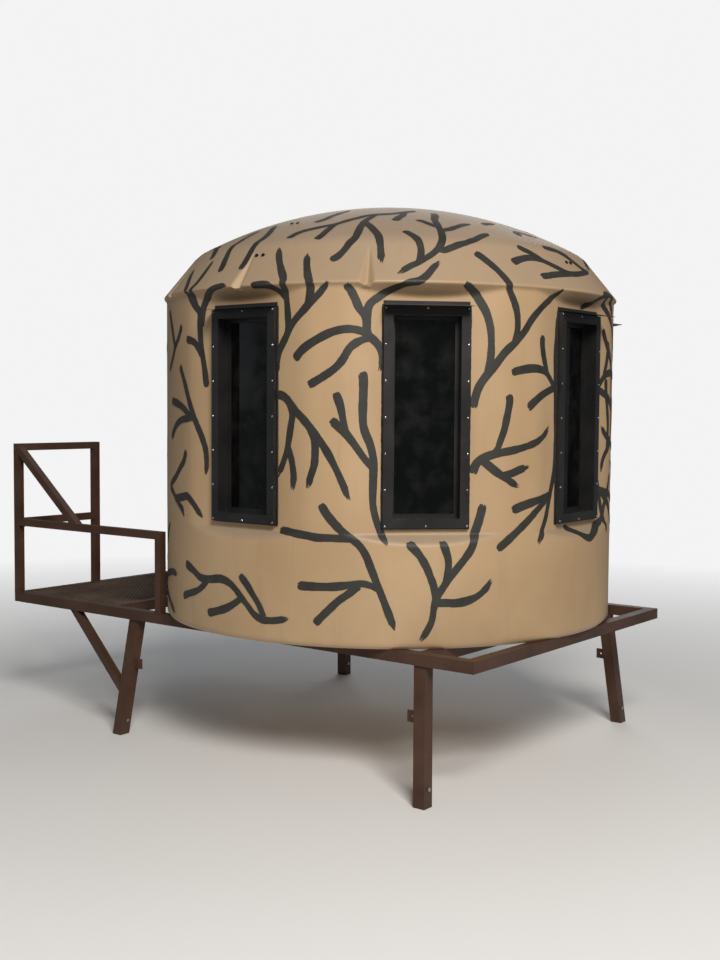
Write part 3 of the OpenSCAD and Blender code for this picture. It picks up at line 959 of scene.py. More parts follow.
    def holes(self) -> dict[float, tuple[float, float, float]]:
        """The openings of the wall.

        Returns:
            Half width, low edge and high edge of each, by its angle.
        """
        low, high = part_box("frame_right")
        bar, throat = 36 * MM, 1 * MM
        window = ((high.x - low.x) / 2 - bar, low.z - self.axis.z + bar, high.z - self.axis.z - bar - throat)
        found = {facing.value: window for facing in Facing}
        low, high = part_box("door_frame")
        flange = 30 * MM
        found[DOOR_FACING] = ((high.y - low.y) / 2 - flange, low.z - self.axis.z + flange,
                        high.z - self.axis.z - flange)
        return found

    def build(self) -> bpy.types.Object:
        """Makes the skin with its wall thickness.

        Returns:
            The shell, in place of the CAD node.
        """
        angles = self.angles()
        count = len(angles)
        rows: list[np.ndarray] = []
        levels: list[float] = []

        def add(radius: np.ndarray, z: np.ndarray, level: float) -> None:
            """Adds one ring of points."""
            turn = np.radians(angles)
            rows.append(np.stack([radius * np.cos(turn), radius * np.sin(turn), z + 0 * turn], 1))
            levels.append(level)

        for share in self.bottom_rings:
            add(share * self.tank_r + 0 * angles, np.zeros(count), -1.0)
        holes = self.holes()
        edges = {e for h in holes.values() for e in h[1:]}
        slope = self.flat_low - self.flat_slope
        heights = set(np.round(np.arange(0.09, 1.45, self.row), 4)) | {0.0, 0.004, 0.009, 0.014, 0.03}
        heights |= set(np.round(np.arange(slope - 0.016, self.flat_low + 0.02, self.crease_row), 4))
        under = self.wall_height - self.lip_under
        heights |= set(np.round(np.arange(under - 0.018, self.wall_height - 0.008, self.lip_row), 4))
        ordered = sorted(edges | {h for h in heights if min(abs(h - e) for e in edges) > 0.004})
        for z in ordered:
            add(self.wall_radius(angles, np.full(count, z)), np.full(count, z), z)
        for r, z in self.meridian():
            pairs = [self.grooved(float(a), r, z) for a in angles]
            add(np.array([p[0] for p in pairs]), np.array([p[1] for p in pairs]), z)
        points = np.concatenate(rows) + np.array(self.axis)
        faces: list[tuple[int, ...]] = []
        for row in range(len(rows) - 1):
            middle = (levels[row] + levels[row + 1]) / 2
            for column in range(count):
                after = (column + 1) % count
                centre = (angles[column] + (angles[after] + 360 * (after == 0))) / 2
                if not self.open_at(centre, middle, holes):
                    a, b = row * count, (row + 1) * count
                    faces.append((a + column, a + after, b + after, b + column))
        faces.append(tuple(reversed(range(count))))
        faces.append(tuple((len(rows) - 1) * count + i for i in range(count)))
        shell = piece("moulded_shell", mesh_of("moulded_shell", points, faces))
        shell.data.materials.append(self.paints.by_slot[Slot.SHELL])
        shell.data.polygons.foreach_set("use_smooth", [True] * len(shell.data.polygons))
        skin: bpy.types.SolidifyModifier = shell.modifiers.new("wall", "SOLIDIFY")
        skin.thickness = self.wall
        skin.offset = -1.0
        thick = evaluated_mesh(shell)
        shell.modifiers.clear()
        shell.data = thick
        return finish_piece(shell, "blind", Slot.SHELL, "tank_shell")

    def open_at(self, angle: float, z: float, holes: dict[float, tuple[float, float, float]]) -> bool:
        """Whether a place on the wall lies in an opening."""
        for facing, (half, low, high) in holes.items():
            edge = math.degrees(math.atan(half / self.flat_r))
            if low < z < high and abs(turned_from(angle, facing)) < edge:
                return True
        return False


# ---- painted branches ----


@dataclass
class Branches:
    """Hand-painted branches that lie on the shell."""

    shell: Shell
    paints: Paintbox
    half_width: float = 17 * MM
    step: float = 7 * MM
    lift: float = 1.0 * MM
    layer: float = 0.1 * MM
    lanes: int = 6
    strides: int = 3
    seed: int = 7
    wander: int = 9
    narrow_ends: Ends = ((0.8, 60 * MM), (0.62, 90 * MM))
    dry_ends: Ends = ((0.42, 40 * MM), (0.28, 85 * MM))
    dry_edge: float = 0.35
    stack: int = 8
    first_width: float = 1.1
    thinning: float = 0.22
    unevenness: float = 0.16
    streak_shift: float = 3.7
    streak_rate: float = 2.4

    NEAR: tuple[Route, ...] = (
        ((257.3, 1.105), (256.5, 1.20), (255.5, 1.29), (255.1, 1.385), (255.1, 1.44), (253.2, 1.475),
         (251.3, 1.515), (250, 1.55), (248.4, 1.58), (245.9, 1.62), (244.2, 1.655)),
        ((254, 1.46), (252.9, 1.51), (253, 1.545), (253.8, 1.57), (254, 1.60), (253.9, 1.65), (253.6, 1.68)),
        ((249.6, 1.325), (252.9, 1.31), (254.6, 1.28), (255.6, 1.25)),
        ((255.5, 1.38), (256.2, 1.45), (256.8, 1.477), (258.1, 1.507), (261.9, 1.534), (264.6, 1.545),
         (267, 1.54)),
        ((245.6, 1.205), (247.8, 1.147), (249.7, 1.087), (252.7, 0.98), (254.1, 0.935), (255.9, 0.875),
         (257, 0.82), (257.3, 0.76), (257, 0.71)),
        ((238.6, 1.045), (244, 1.03), (247.8, 1.01), (250.6, 0.983), (252.7, 0.96)),
        ((238.3, 0.87), (240, 0.895), (242.6, 0.93), (246.4, 0.955), (251.5, 0.965)),
        ((236, 1.47), (238.3, 1.40), (240.3, 1.335), (241.3, 1.29), (238.8, 1.235), (235.5, 1.18)),
        ((246.7, 1.39), (244.9, 1.345), (241.5, 1.29)),
        ((249.2, 0.815), (247.8, 0.765), (245.2, 0.73), (242, 0.688), (237, 0.64), (239.8, 0.61),
         (243.9, 0.57), (246.9, 0.54), (248, 0.51)),
        ((241.5, 0.585), (247.3, 0.60), (250, 0.605), (252.6, 0.577), (254.6, 0.54), (256, 0.515)),
        ((249.1, 0.295), (253.3, 0.27), (256.5, 0.245), (260.3, 0.245), (264.2, 0.255), (267, 0.245),
         (269.1, 0.222), (270.9, 0.19), (273, 0.153), (274.9, 0.118), (277, 0.10), (279.4, 0.098),
         (281.8, 0.105), (284, 0.115)),
        ((247.6, 0.138), (250.5, 0.156), (254.8, 0.18), (257.2, 0.204), (259.5, 0.238)),
        ((270.7, 0.283), (272.7, 0.247), (274.4, 0.207), (276.1, 0.165), (277.6, 0.112)),
        ((259.6, 0.09), (263.2, 0.108), (266.4, 0.128), (268.9, 0.153), (271.2, 0.182)),
        ((228, 0.157), (231, 0.20), (235.8, 0.222), (239.8, 0.232), (243, 0.225)),
        ((228, 0.13), (234.3, 0.09), (238, 0.065), (241, 0.037)),
        ((230, 0.36), (233, 0.42), (236, 0.46)),
        ((279.6, 1.17), (279.8, 1.215), (280.5, 1.257), (281.6, 1.29), (282.8, 1.33), (283.1, 1.375),
         (282.8, 1.447), (282.5, 1.495), (282.5, 1.535), (282.4, 1.56), (280.7, 1.605), (278.9, 1.653),
         (277.2, 1.708)),
        ((274.3, 1.536), (277.6, 1.537), (279.4, 1.527), (280.7, 1.513), (282.4, 1.485)),
        ((282, 1.30), (283.2, 1.34), (284.4, 1.373), (285.8, 1.40), (287.5, 1.43), (288.8, 1.455),
         (290.3, 1.48), (291.6, 1.507), (293.1, 1.543)),
        ((288.4, 1.445), (288.9, 1.497), (288.9, 1.54), (288, 1.575), (287, 1.62), (286.1, 1.672)),
        ((285, 1.22), (287, 1.26), (290.3, 1.30), (294, 1.333), (297.5, 1.345), (300.5, 1.335), (302.4, 1.31),
         (304.3, 1.27), (304.9, 1.22), (304.2, 1.17)),
        ((288.6, 1.11), (291.8, 1.145), (294.5, 1.18), (296.2, 1.215), (298, 1.27), (300.5, 1.30),
         (302.8, 1.307)),
        ((296.9, 1.53), (297.9, 1.507), (298.9, 1.47), (299.7, 1.435), (300.9, 1.40), (301.4, 1.355),
         (301.8, 1.325)),
        ((301.4, 1.35), (301.5, 1.41), (301.9, 1.443), (302.8, 1.463), (304.1, 1.48), (305.6, 1.50),
         (308.5, 1.522), (310.7, 1.535), (312.5, 1.543), (313.5, 1.553), (314.7, 1.572), (316.3, 1.605),
         (318, 1.632)),
        ((279.8, 1.073), (281.9, 1.063), (284, 1.03), (285.7, 0.995), (287.4, 0.965), (289.3, 0.925),
         (291.2, 0.88), (293.2, 0.822), (295.1, 0.754), (296.6, 0.691), (297.9, 0.628)),
        ((282.8, 1.055), (283.8, 1.025), (284.4, 0.985), (284, 0.942), (283, 0.842), (282, 0.79),
         (280.8, 0.742), (280.1, 0.713)),
        ((283.1, 0.85), (284.1, 0.80), (284.6, 0.757), (284.8, 0.715), (284.5, 0.665)),
        ((289, 0.93), (290.1, 0.88), (290.2, 0.823), (290, 0.775), (289.2, 0.727), (288.4, 0.675)),
        ((294.8, 1.08), (295.6, 1.04), (296, 1.013), (296.5, 0.965), (297.2, 0.91)),
        ((293.8, 0.967), (295.2, 0.943), (296.8, 0.915), (298.3, 0.88), (299.8, 0.84), (301.2, 0.802),
         (303, 0.765)),
        ((300.3, 1.165), (300.8, 1.133), (300.7, 0.98), (301.1, 0.922), (302.3, 0.865), (303, 0.81),
         (303.1, 0.755), (303, 0.63), (303.4, 0.573), (304.3, 0.517), (305.2, 0.475), (306.4, 0.44)),
        ((291.6, 0.611), (292.6, 0.577), (294.3, 0.537), (296.5, 0.495), (298.4, 0.468), (300.2, 0.44),
         (301.7, 0.398), (302.7, 0.35), (303.7, 0.301), (305, 0.239), (306.4, 0.17), (307.5, 0.115),
         (308.2, 0.083)),
        ((281, 0.49), (284.8, 0.482), (288, 0.476), (290.7, 0.468), (293.7, 0.468), (298.6, 0.466)),
        ((286.2, 0.26), (289.2, 0.259), (293, 0.26), (295.9, 0.265), (300.4, 0.278), (302.6, 0.272),
         (304.8, 0.255)),
        ((290.3, 0.10), (292, 0.134), (293.9, 0.17), (295.7, 0.203), (297.8, 0.232), (300.2, 0.268)),
        ((328.3, 0.61), (327.7, 0.56), (326.9, 0.51), (325.9, 0.462), (325, 0.42), (323.4, 0.378),
         (321.6, 0.337), (320.1, 0.302), (318.6, 0.26), (317.2, 0.218), (316.7, 0.176), (316.2, 0.12),
         (314.9, 0.07), (313.6, 0.038)),
        ((311.1, 0.455), (311.8, 0.435), (313.4, 0.40), (314.9, 0.352), (315.8, 0.31), (316.6, 0.268),
         (317.1, 0.21)),
        ((318.5, 0.456), (319.2, 0.42), (319.8, 0.38), (319.8, 0.337), (319.3, 0.285)),
        ((316.9, 0.198), (319.6, 0.197), (321.5, 0.195), (324.1, 0.202), (326.6, 0.22), (328.6, 0.25),
         (330.1, 0.29)),
        ((322.8, 1.538), (324.3, 1.52), (325.9, 1.50), (327.1, 1.468), (328.3, 1.43), (329, 1.395),
         (329.5, 1.355), (329.7, 1.31), (329.7, 1.26), (329.5, 1.22), (328.8, 1.165)),
        ((325.8, 1.02), (326.3, 1.065), (327.2, 1.113), (329, 1.163), (331.1, 1.213), (333.2, 1.262),
         (335.7, 1.303), (338, 1.35), (339.7, 1.395), (341.5, 1.43), (343.6, 1.462), (346.3, 1.493),
         (348, 1.517), (349, 1.54)),
        ((327.5, 1.68), (328.7, 1.663), (330, 1.64), (331.3, 1.613), (332.3, 1.585), (333.1, 1.553),
         (333.8, 1.517), (335, 1.47), (335.7, 1.432), (336, 1.39), (335.9, 1.345), (335.2, 1.298)),
        ((333.7, 1.075), (334.2, 1.05), (333.4, 0.967), (332.9, 0.925), (332.1, 0.883), (331.4, 0.847),
         (330.2, 0.82)),
        ((325.9, 0.742), (326.4, 0.773), (327.4, 0.797), (329.3, 0.816), (332.1, 0.83), (334.6, 0.838),
         (337.2, 0.848), (340.2, 0.863), (342.6, 0.88), (344.8, 0.905), (346.8, 0.94)),
        ((327.8, 0.803), (330, 0.767), (331.7, 0.742), (333.5, 0.72), (335.2, 0.70), (337, 0.68)),
        ((332.6, 0.73), (335, 0.742), (337.2, 0.757), (339.7, 0.77)),
        ((343.6, 1.335), (343.5, 1.30), (343.8, 1.265), (344.4, 1.228), (345.6, 1.172)),
        ((334.6, 1.172), (337.2, 1.183), (339.6, 1.19), (342.2, 1.19), (344.8, 1.178), (346.8, 1.152),
         (349.4, 1.105)),
        ((350.3, 1.42), (349.8, 1.34), (349.4, 1.25), (349.6, 1.11), (350, 0.94), (350, 0.84), (349.4, 0.74),
         (347.8, 0.65), (346.8, 0.59), (345.9, 0.54), (344.3, 0.485), (342.8, 0.43)),
        ((339.2, 1.02), (341.2, 1.05), (344.2, 1.082), (349.5, 1.115)),
        ((335.2, 0.582), (337.7, 0.598), (340.1, 0.61), (342.8, 0.622), (347.6, 0.642)),
        ((331.5, 0.417), (334.2, 0.455), (337, 0.496), (339.6, 0.535), (342.4, 0.578), (345, 0.61),
         (347.8, 0.65)),
        ((354.5, 0.487), (358.5, 0.46), (361, 0.44), (363.5, 0.43), (366.5, 0.45), (370, 0.475), (374, 0.50),
         (375.5, 0.56), (378, 0.64), (380, 0.72)),
        ((361.2, 1.483), (365, 1.497), (366.3, 1.515), (368, 1.532), (370, 1.545), (373.5, 1.55),
         (376.5, 1.53), (378.5, 1.49), (379.5, 1.45)),
        ((373.5, 1.39), (375, 1.34), (377.5, 1.28), (380, 1.20), (381.5, 1.0), (381, 0.90), (379, 0.85),
         (376, 0.81), (374.3, 0.77), (373.8, 0.72)),
        ((375.5, 1.16), (376, 1.08), (377, 1.0), (377.5, 0.93), (377, 0.83)),
        ((251.6, 1.69), (250.8, 1.72), (247, 1.755), (242, 1.76), (238, 1.74)),
        ((261, 1.615), (260.7, 1.638), (259.5, 1.683), (258.3, 1.735), (258, 1.758), (257, 1.785),
         (255.5, 1.83)),
        ((268.2, 1.617), (268.5, 1.65), (268.2, 1.73), (268, 1.77), (266.2, 1.80), (263.2, 1.827),
         (260, 1.85)),
        ((292.6, 1.636), (294.1, 1.655), (295.4, 1.685), (296.3, 1.715), (297.5, 1.745), (297.6, 1.785),
         (297.7, 1.82), (298.2, 1.845), (300.5, 1.882)),
        ((297.9, 1.832), (300.4, 1.806), (301.7, 1.785), (303.2, 1.755), (303.9, 1.72), (304.3, 1.665),
         (304.5, 1.622)),
        ((278.2, 1.753), (278.5, 1.77), (279.6, 1.787), (281.6, 1.798), (286, 1.815), (288.3, 1.822),
         (290.2, 1.835), (292.2, 1.85), (294.7, 1.863), (297, 1.876), (300.2, 1.884), (304.2, 1.888),
         (308, 1.893), (311, 1.90), (315, 1.91), (319, 1.92)),
        ((287.2, 1.738), (287.7, 1.76), (288, 1.787), (288.5, 1.823)),
        ((279.5, 1.846), (281.2, 1.862), (281.8, 1.883), (282.4, 1.903), (283.2, 1.917), (284.5, 1.93)),
        ((308, 1.842), (309.6, 1.864), (311.3, 1.88), (312.8, 1.903)),
        ((326.5, 1.905), (324.5, 1.88), (322.3, 1.853), (321.5, 1.818), (320.9, 1.781), (320.1, 1.745),
         (319.3, 1.717), (318, 1.688), (316.2, 1.662), (314.3, 1.64), (312.5, 1.621), (310.9, 1.607),
         (308.1, 1.573)),
        ((321, 1.787), (323.8, 1.795), (327.3, 1.813), (331.5, 1.832), (334.8, 1.838)),
        ((315.8, 1.849), (317.5, 1.839), (319.2, 1.823), (321.5, 1.803)),
        ((318.2, 1.692), (319.6, 1.685), (321.8, 1.699), (324.2, 1.716), (326.4, 1.727), (329.3, 1.745),
         (332.5, 1.766), (336.2, 1.785)),
        ((310.4, 1.778), (312, 1.758), (313.3, 1.735), (313.8, 1.71), (313.9, 1.68), (313.5, 1.647),
         (312.7, 1.618)),
        ((350, 1.795), (351, 1.812), (354, 1.82), (358, 1.81), (361, 1.80)),
        ((341, 1.847), (345, 1.857), (350, 1.865)),
        ((337, 1.645), (339.7, 1.662), (342.9, 1.674), (345.6, 1.674), (348.1, 1.665), (350.3, 1.652),
         (354.4, 1.626), (357, 1.62), (362, 1.63), (366, 1.643), (370, 1.657)),
        ((343.7, 1.589), (346.6, 1.597), (349.5, 1.606), (353, 1.613), (357, 1.621)),
        ((341.4, 1.727), (343.1, 1.712), (345.1, 1.698), (346.7, 1.683), (348.3, 1.663)),
        ((352.1, 1.738), (355.1, 1.735), (358, 1.728), (360.3, 1.716), (361.9, 1.70), (363.7, 1.682),
         (365.5, 1.663), (368, 1.645)),
    )

    def routes(self) -> list[Route]:
        """Every stroke's points, the far side following the near side.

        Returns:
            Lists of angles and heights.
        """
        def within(low: float, high: float, floor: float = 0.0) -> list[Route]:
            """The strokes that lie between two angles and above a height."""
            return [route for route in self.NEAR if low < min(a for a, _ in route)
                    and max(a for a, _ in route) < high and min(z for _, z in route) > floor]

        mirrored, beside_door, over_door = within(236, 352), within(277, 306.5), within(290, 325, 1.57)
        turns = [(self.NEAR, 1, 0.0), (mirrored, -1, 0.0), (beside_door, 1, -146.5),
                 (beside_door, 1, -78.5), (over_door, 1, -128.0)]
        return [tuple((way * a + turn, z) for a, z in route) for group, way, turn in turns for route in group]

    def smooth_path(self, route: Route) -> np.ndarray:
        """A curve through a stroke's points at even steps.

        Args:
            route: the stroke's angles and heights.

        Returns:
            The finer angles and heights, one pair to a row.
        """
        points = np.array(route)
        padded = np.vstack([points[0] * 2 - points[1], points, points[-1] * 2 - points[-2]])
        along = np.linalg.norm(np.diff(self.shell.spots(points[:, 0], points[:, 1]), axis=0), axis=1)
        fine: list[np.ndarray] = []
        for k, length in enumerate(along, 1):
            a, b, c, d = padded[k - 1:k + 3]
            count = max(2, round(length / self.step))
            t = np.arange(count)[:, None] / count
            fine.append(0.5 * (2 * b + (c - a) * t + (2 * a - 5 * b + 4 * c - d) * t * t
                               + (3 * b - a - 3 * c + d) * t ** 3))
        return np.vstack([*fine, points[-1:]])

    def meetings(self, lines: list[np.ndarray]) -> list[tuple[bool, bool]]:
        """Which strokes start or end on another one, so that no dry tip shows at a fork.

        Args:
            lines: every stroke's points in the row frame.

        Returns:
            For each stroke, whether its start and its end meet another.
        """
        spots = np.vstack(lines)
        owner = np.repeat(np.arange(len(lines)), [len(line) for line in lines])

        def meets(number: int, tip: np.ndarray) -> bool:
            """Whether a tip lies on a stroke that isn't its own."""
            return bool(np.linalg.norm(spots[owner != number] - tip, axis=1).min() < self.half_width)

        return [(meets(number, line[0]), meets(number, line[-1])) for number, line in enumerate(lines)]

    def sideways(self, path: np.ndarray, line: np.ndarray, reach: np.ndarray) -> np.ndarray:
        """Walks from a stroke's middle to one side along the skin.

        Args:
            path: the middle's angles and heights.
            line: the same points in the row frame.
            reach: how far to walk at each of them, to the left if below 0.

        Returns:
            The points reached.
        """
        angle, z = path[:, 0].copy(), path[:, 1].copy()
        ahead = np.gradient(line, axis=0)
        for _ in range(self.strides):
            across, upward = self.shell.slopes(angle, z)
            side = np.cross(ahead, np.cross(across, upward))
            side *= (reach / self.strides / np.linalg.norm(side, axis=1))[:, None]
            angle += (side * across).sum(1) / (across ** 2).sum(1)
            z += (side * upward).sum(1) / (upward ** 2).sum(1)
        return self.shell.spots(angle, z)

    def grown(self, run: np.ndarray, meets: tuple[bool, bool], ends: Ends) -> np.ndarray:
        """What a brush gives along a stroke, less towards ends that meet no other stroke.

        Args:
            run: distances from the stroke's start.
            meets: whether its start and its end meet another stroke.
            ends: what it gives at the start and the end, and the distance over which it gains 1.

        Returns:
            The lesser of the gains from the two ends.
        """
        (first, rise), (last, fall) = ends
        return np.minimum(first + run / rise + meets[0], last + (run[-1] - run) / fall + meets[1])

    def build(self, skin: bpy.types.Object) -> bpy.types.Object:
        """Lays every stroke on the skin.

        Args:
            skin: the shell's object.

        Returns:
            The strokes as one piece.
        """
        rng = np.random.default_rng(self.seed)
        points: list[np.ndarray] = []
        faces: list[tuple[int, ...]] = []
        marks: dict[str, list[float]] = {"along": [], "across": [], "dry": [], "layer": []}
        paths = [self.smooth_path(route) for route in self.routes()]
        lines = [self.shell.spots(path[:, 0], path[:, 1]) for path in paths]
        for number, (path, line, meets) in enumerate(zip(paths, lines, self.meetings(lines))):
            count = len(path)
            wobble = np.convolve(rng.normal(0, 1, count + self.wander - 1),
                                 np.ones(self.wander) / self.wander, "valid")
            t = np.linspace(0, 1, count)
            run = np.concatenate([[0.0], np.cumsum(np.linalg.norm(np.diff(line, axis=0), axis=1))])
            taper = np.minimum(1.0, self.grown(run, meets, self.narrow_ends))
            half = self.half_width * taper * (
                self.first_width - self.thinning * t + self.unevenness * wobble)
            wet = self.grown(run, meets, self.dry_ends)
            start = sum(len(lane) for lane in points)
            lanes = np.linspace(-1, 1, self.lanes + 1)
            for lane, across in enumerate(lanes):
                points.append(self.sideways(path, line, half * across))
                marks["along"] += list(number * self.streak_shift + run * self.streak_rate)
                marks["across"] += [float(across)] * count
                marks["dry"] += list(np.maximum(0.0, 1 - wet) + abs(across) ** 6 * self.dry_edge)
                marks["layer"] += [float(number % self.stack)] * count
                if lane:
                    a, b = start + (lane - 1) * count, start + lane * count
                    faces += [(a + k, b + k, b + k + 1, a + k + 1) for k in range(count - 1)]
        flat = mesh_of("branches", np.vstack(points), faces)
        for name, values in marks.items():
            flat.attributes.new(name, "FLOAT", "POINT").data.foreach_set("value", values)
        recipe = GeometryRecipe("lay_on_skin", {
            "Lift": self.lift, "Layer": self.layer, "Skin": skin, "Finish": self.paints.brush})
        target = recipe.node("GeometryNodeObjectInfo", {"transform_space": "ORIGINAL"},
                             {"Object": recipe.size("Skin")}, "Geometry")
        nearest = recipe.node("GeometryNodeProximity", {"target_element": "FACES"}, {0: target})
        out = recipe.node("GeometryNodeSampleNearestSurface", {"data_type": "FLOAT_VECTOR"}, {
            "Mesh": target, "Value": recipe.node("GeometryNodeInputNormal")})
        layer = recipe.node("GeometryNodeInputNamedAttribute", {"data_type": "FLOAT"}, {"Name": "layer"})
        rise = recipe.math("MULTIPLY_ADD", layer, recipe.size("Layer"), recipe.size("Lift"))
        up = recipe.node("ShaderNodeVectorMath", {"operation": "SCALE"}, {0: out, "Scale": rise})
        laid = recipe.node("ShaderNodeVectorMath", {"operation": "ADD"}, {0: nearest, 1: up})
        moved = recipe.node("GeometryNodeSetPosition", sockets={
            0: recipe.source.outputs[0], "Position": laid})
        return finish_piece(recipe.run(flat, moved, "painted_branches"), "blind", Slot.SHELL)


# ---- windows ----


@dataclass
class Windows:
    """Sealant, screws and mitres of the five windows."""

    shell: Shell
    paints: Paintbox
    bar: float = 40 * MM
    head_r: float = 4.6 * MM
    head_t: float = 2.6 * MM
    bead: float = 2.6 * MM
    inset: float = 9 * MM
    rows: int = 7
    sides: int = 12
    mitre_gap: float = 0.7 * MM
    mitre_proud: float = 0.25 * MM

    def at(self, facing: Facing, across: float, z: float, out: float) -> Vector:
        """A point in a window's own directions.

        Args:
            facing: the window.
            across: to the side, in metres.
            z: above the tank's bottom.
            out: distance from the axis.

        Returns:
            The point in the row frame.
        """
        turn = Matrix.Rotation(math.radians(facing.value), 3, "Z")
        return self.shell.axis + turn @ Vector((out, across, z))

    def outline(self) -> tuple[float, float, float, float]:
        """Half width, low edge, high edge and outer face of a frame.

        Returns:
            The four sizes.
        """
        low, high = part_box("frame_right")
        base = self.shell.axis
        return (high.x - low.x) / 2, low.z - base.z, high.z - base.z, base.y - low.y

    def sealant(self) -> bpy.types.Object:
        """Runs a bead round each frame, where it meets the wall."""
        half, low, high, _ = self.outline()
        beads = Beads("sealant_beads", Slot.SEAL, self.bead, 5 * MM, 7 * MM)
        edge = 1.5 * MM
        for facing in Facing:
            corners = [(-half - edge, low - edge), (half + edge, low - edge),
                       (half + edge, high + edge), (-half - edge, high + edge)]
            beads.loops.append([self.at(facing, y, z, self.shell.flat_r + 1 * MM) for y, z in corners])
        return beads.build(self.paints.by_slot[Slot.SEAL])

    def head(self) -> bpy.types.Mesh:
        """One pan head with a cross recess, on +Z.

        Returns:
            The mesh.
        """
        shape = bmesh.new()
        rings = ((1.0, 0.0), (1.0, 0.45), (0.82, 0.82), (0.5, 1.0))
        turns = [k * 2 * math.pi / self.sides for k in range(self.sides)]
        loops = [[shape.verts.new((self.head_r * r * math.cos(a), self.head_r * r * math.sin(a),
                                   self.head_t * h)) for a in turns] for r, h in rings]
        arm, waist, depth = 0.9, 0.3, 0.45
        reach = [arm if k % 3 == 0 else waist for k in range(self.sides)]
        loops.append([shape.verts.new((v.co.x * r, v.co.y * r, self.head_t * depth))
                      for v, r in zip(loops[-1], reach)])
        for inner, outer in zip(loops, loops[1:]):
            for k in range(self.sides):
                after = (k + 1) % self.sides
                shape.faces.new((inner[k], inner[after], outer[after], outer[k]))
        shape.faces.new(loops[-1])
        shape.faces.new(list(reversed(loops[0])))
        mesh = bpy.data.meshes.new("screw_head")
        shape.to_mesh(mesh)
        shape.free()
        return mesh

    def screws(self) -> bpy.types.Object:
        """Sets the screw heads on the frames, in place of the plain ones."""
        half, low, high, face = self.outline()
        spots: list[Vector] = []
        ways: list[float] = []
        for facing in Facing:
            heights = np.linspace(low + self.inset, high - self.inset, self.rows)
            places = [(side * (half - self.inset), float(z)) for z in heights for side in (-1, 1)]
            places += [(0.0, low + self.inset), (0.0, high - self.inset)]
            for y, z in places:
                spots.append(self.at(facing, y, z, face))
                ways.extend(self.at(facing, 0, 0, 1) - self.at(facing, 0, 0, 0))
        carrier = mesh_of("screw_places", spots)
        carrier.attributes.new("way", "FLOAT_VECTOR", "POINT").data.foreach_set("vector", ways)
        head = piece("screw_head_pattern", self.head())
        # the heads take the light grey finish that paints their glints
        recipe = GeometryRecipe("screw_rows", {"Head": head, "Seed": 3, "Finish": self.paints.heads})
        shape = recipe.node("GeometryNodeObjectInfo", sockets={"Object": recipe.size("Head")},
                            output="Geometry")
        way = recipe.node("GeometryNodeInputNamedAttribute", {"data_type": "FLOAT_VECTOR"}, {"Name": "way"})
        spin = recipe.node("FunctionNodeRandomValue", {"data_type": "FLOAT"}, {
            "Min": 0.0, "Max": 6.28, "Seed": recipe.size("Seed")}, output=1)
        turned = recipe.node("FunctionNodeAlignRotationToVector", {"axis": "Z"}, {"Vector": way})
        about = recipe.node("FunctionNodeAxisAngleToRotation", sockets={"Axis": (0, 0, 1), "Angle": spin})
        whole = recipe.node("FunctionNodeRotateRotation", {"rotation_space": "LOCAL"},
                            {"Rotation": turned, "Rotate By": about})
        dots = recipe.node("GeometryNodeMeshToPoints", sockets={0: recipe.source.outputs[0]})
        many = recipe.node("GeometryNodeInstanceOnPoints", sockets={
            "Points": dots, "Instance": shape, "Rotation": whole})
        made = recipe.run(carrier, many, "window_screw_heads")
        bpy.data.objects.remove(head)
        return finish_piece(made, "blind", Slot.SCREWS, "window_screws")

    def mitres(self) -> bpy.types.Object:
        """Draws the mitre joints as fine dark gaps on the frames' faces."""
        half, low, high, face = self.outline()
        gap = self.mitre_gap
        points: list[Vector] = []
        faces: list[tuple[int, ...]] = []
        strip = ((gap, 0), (0, gap), (self.bar - gap, self.bar), (self.bar, self.bar - gap))
        for facing, side, (z, up) in product(Facing, (-1, 1), ((low, 1), (high, -1))):
            faces.append(tuple(len(points) + k for k in range(len(strip))))
            points += [self.at(facing, side * (half - y_in), z + up * z_in, face + self.mitre_proud)
                       for y_in, z_in in strip]
        mesh = mesh_of("mitre_gaps", points, faces)
        mesh.materials.append(self.paints.mitre)
        return finish_piece(piece("mitre_gaps", mesh), "blind", Slot.WINDOW)

    def build(self) -> None:
        """Builds everything on the windows."""
        self.sealant()
        self.screws()
        self.mitres()


# ---- deck and stand ----


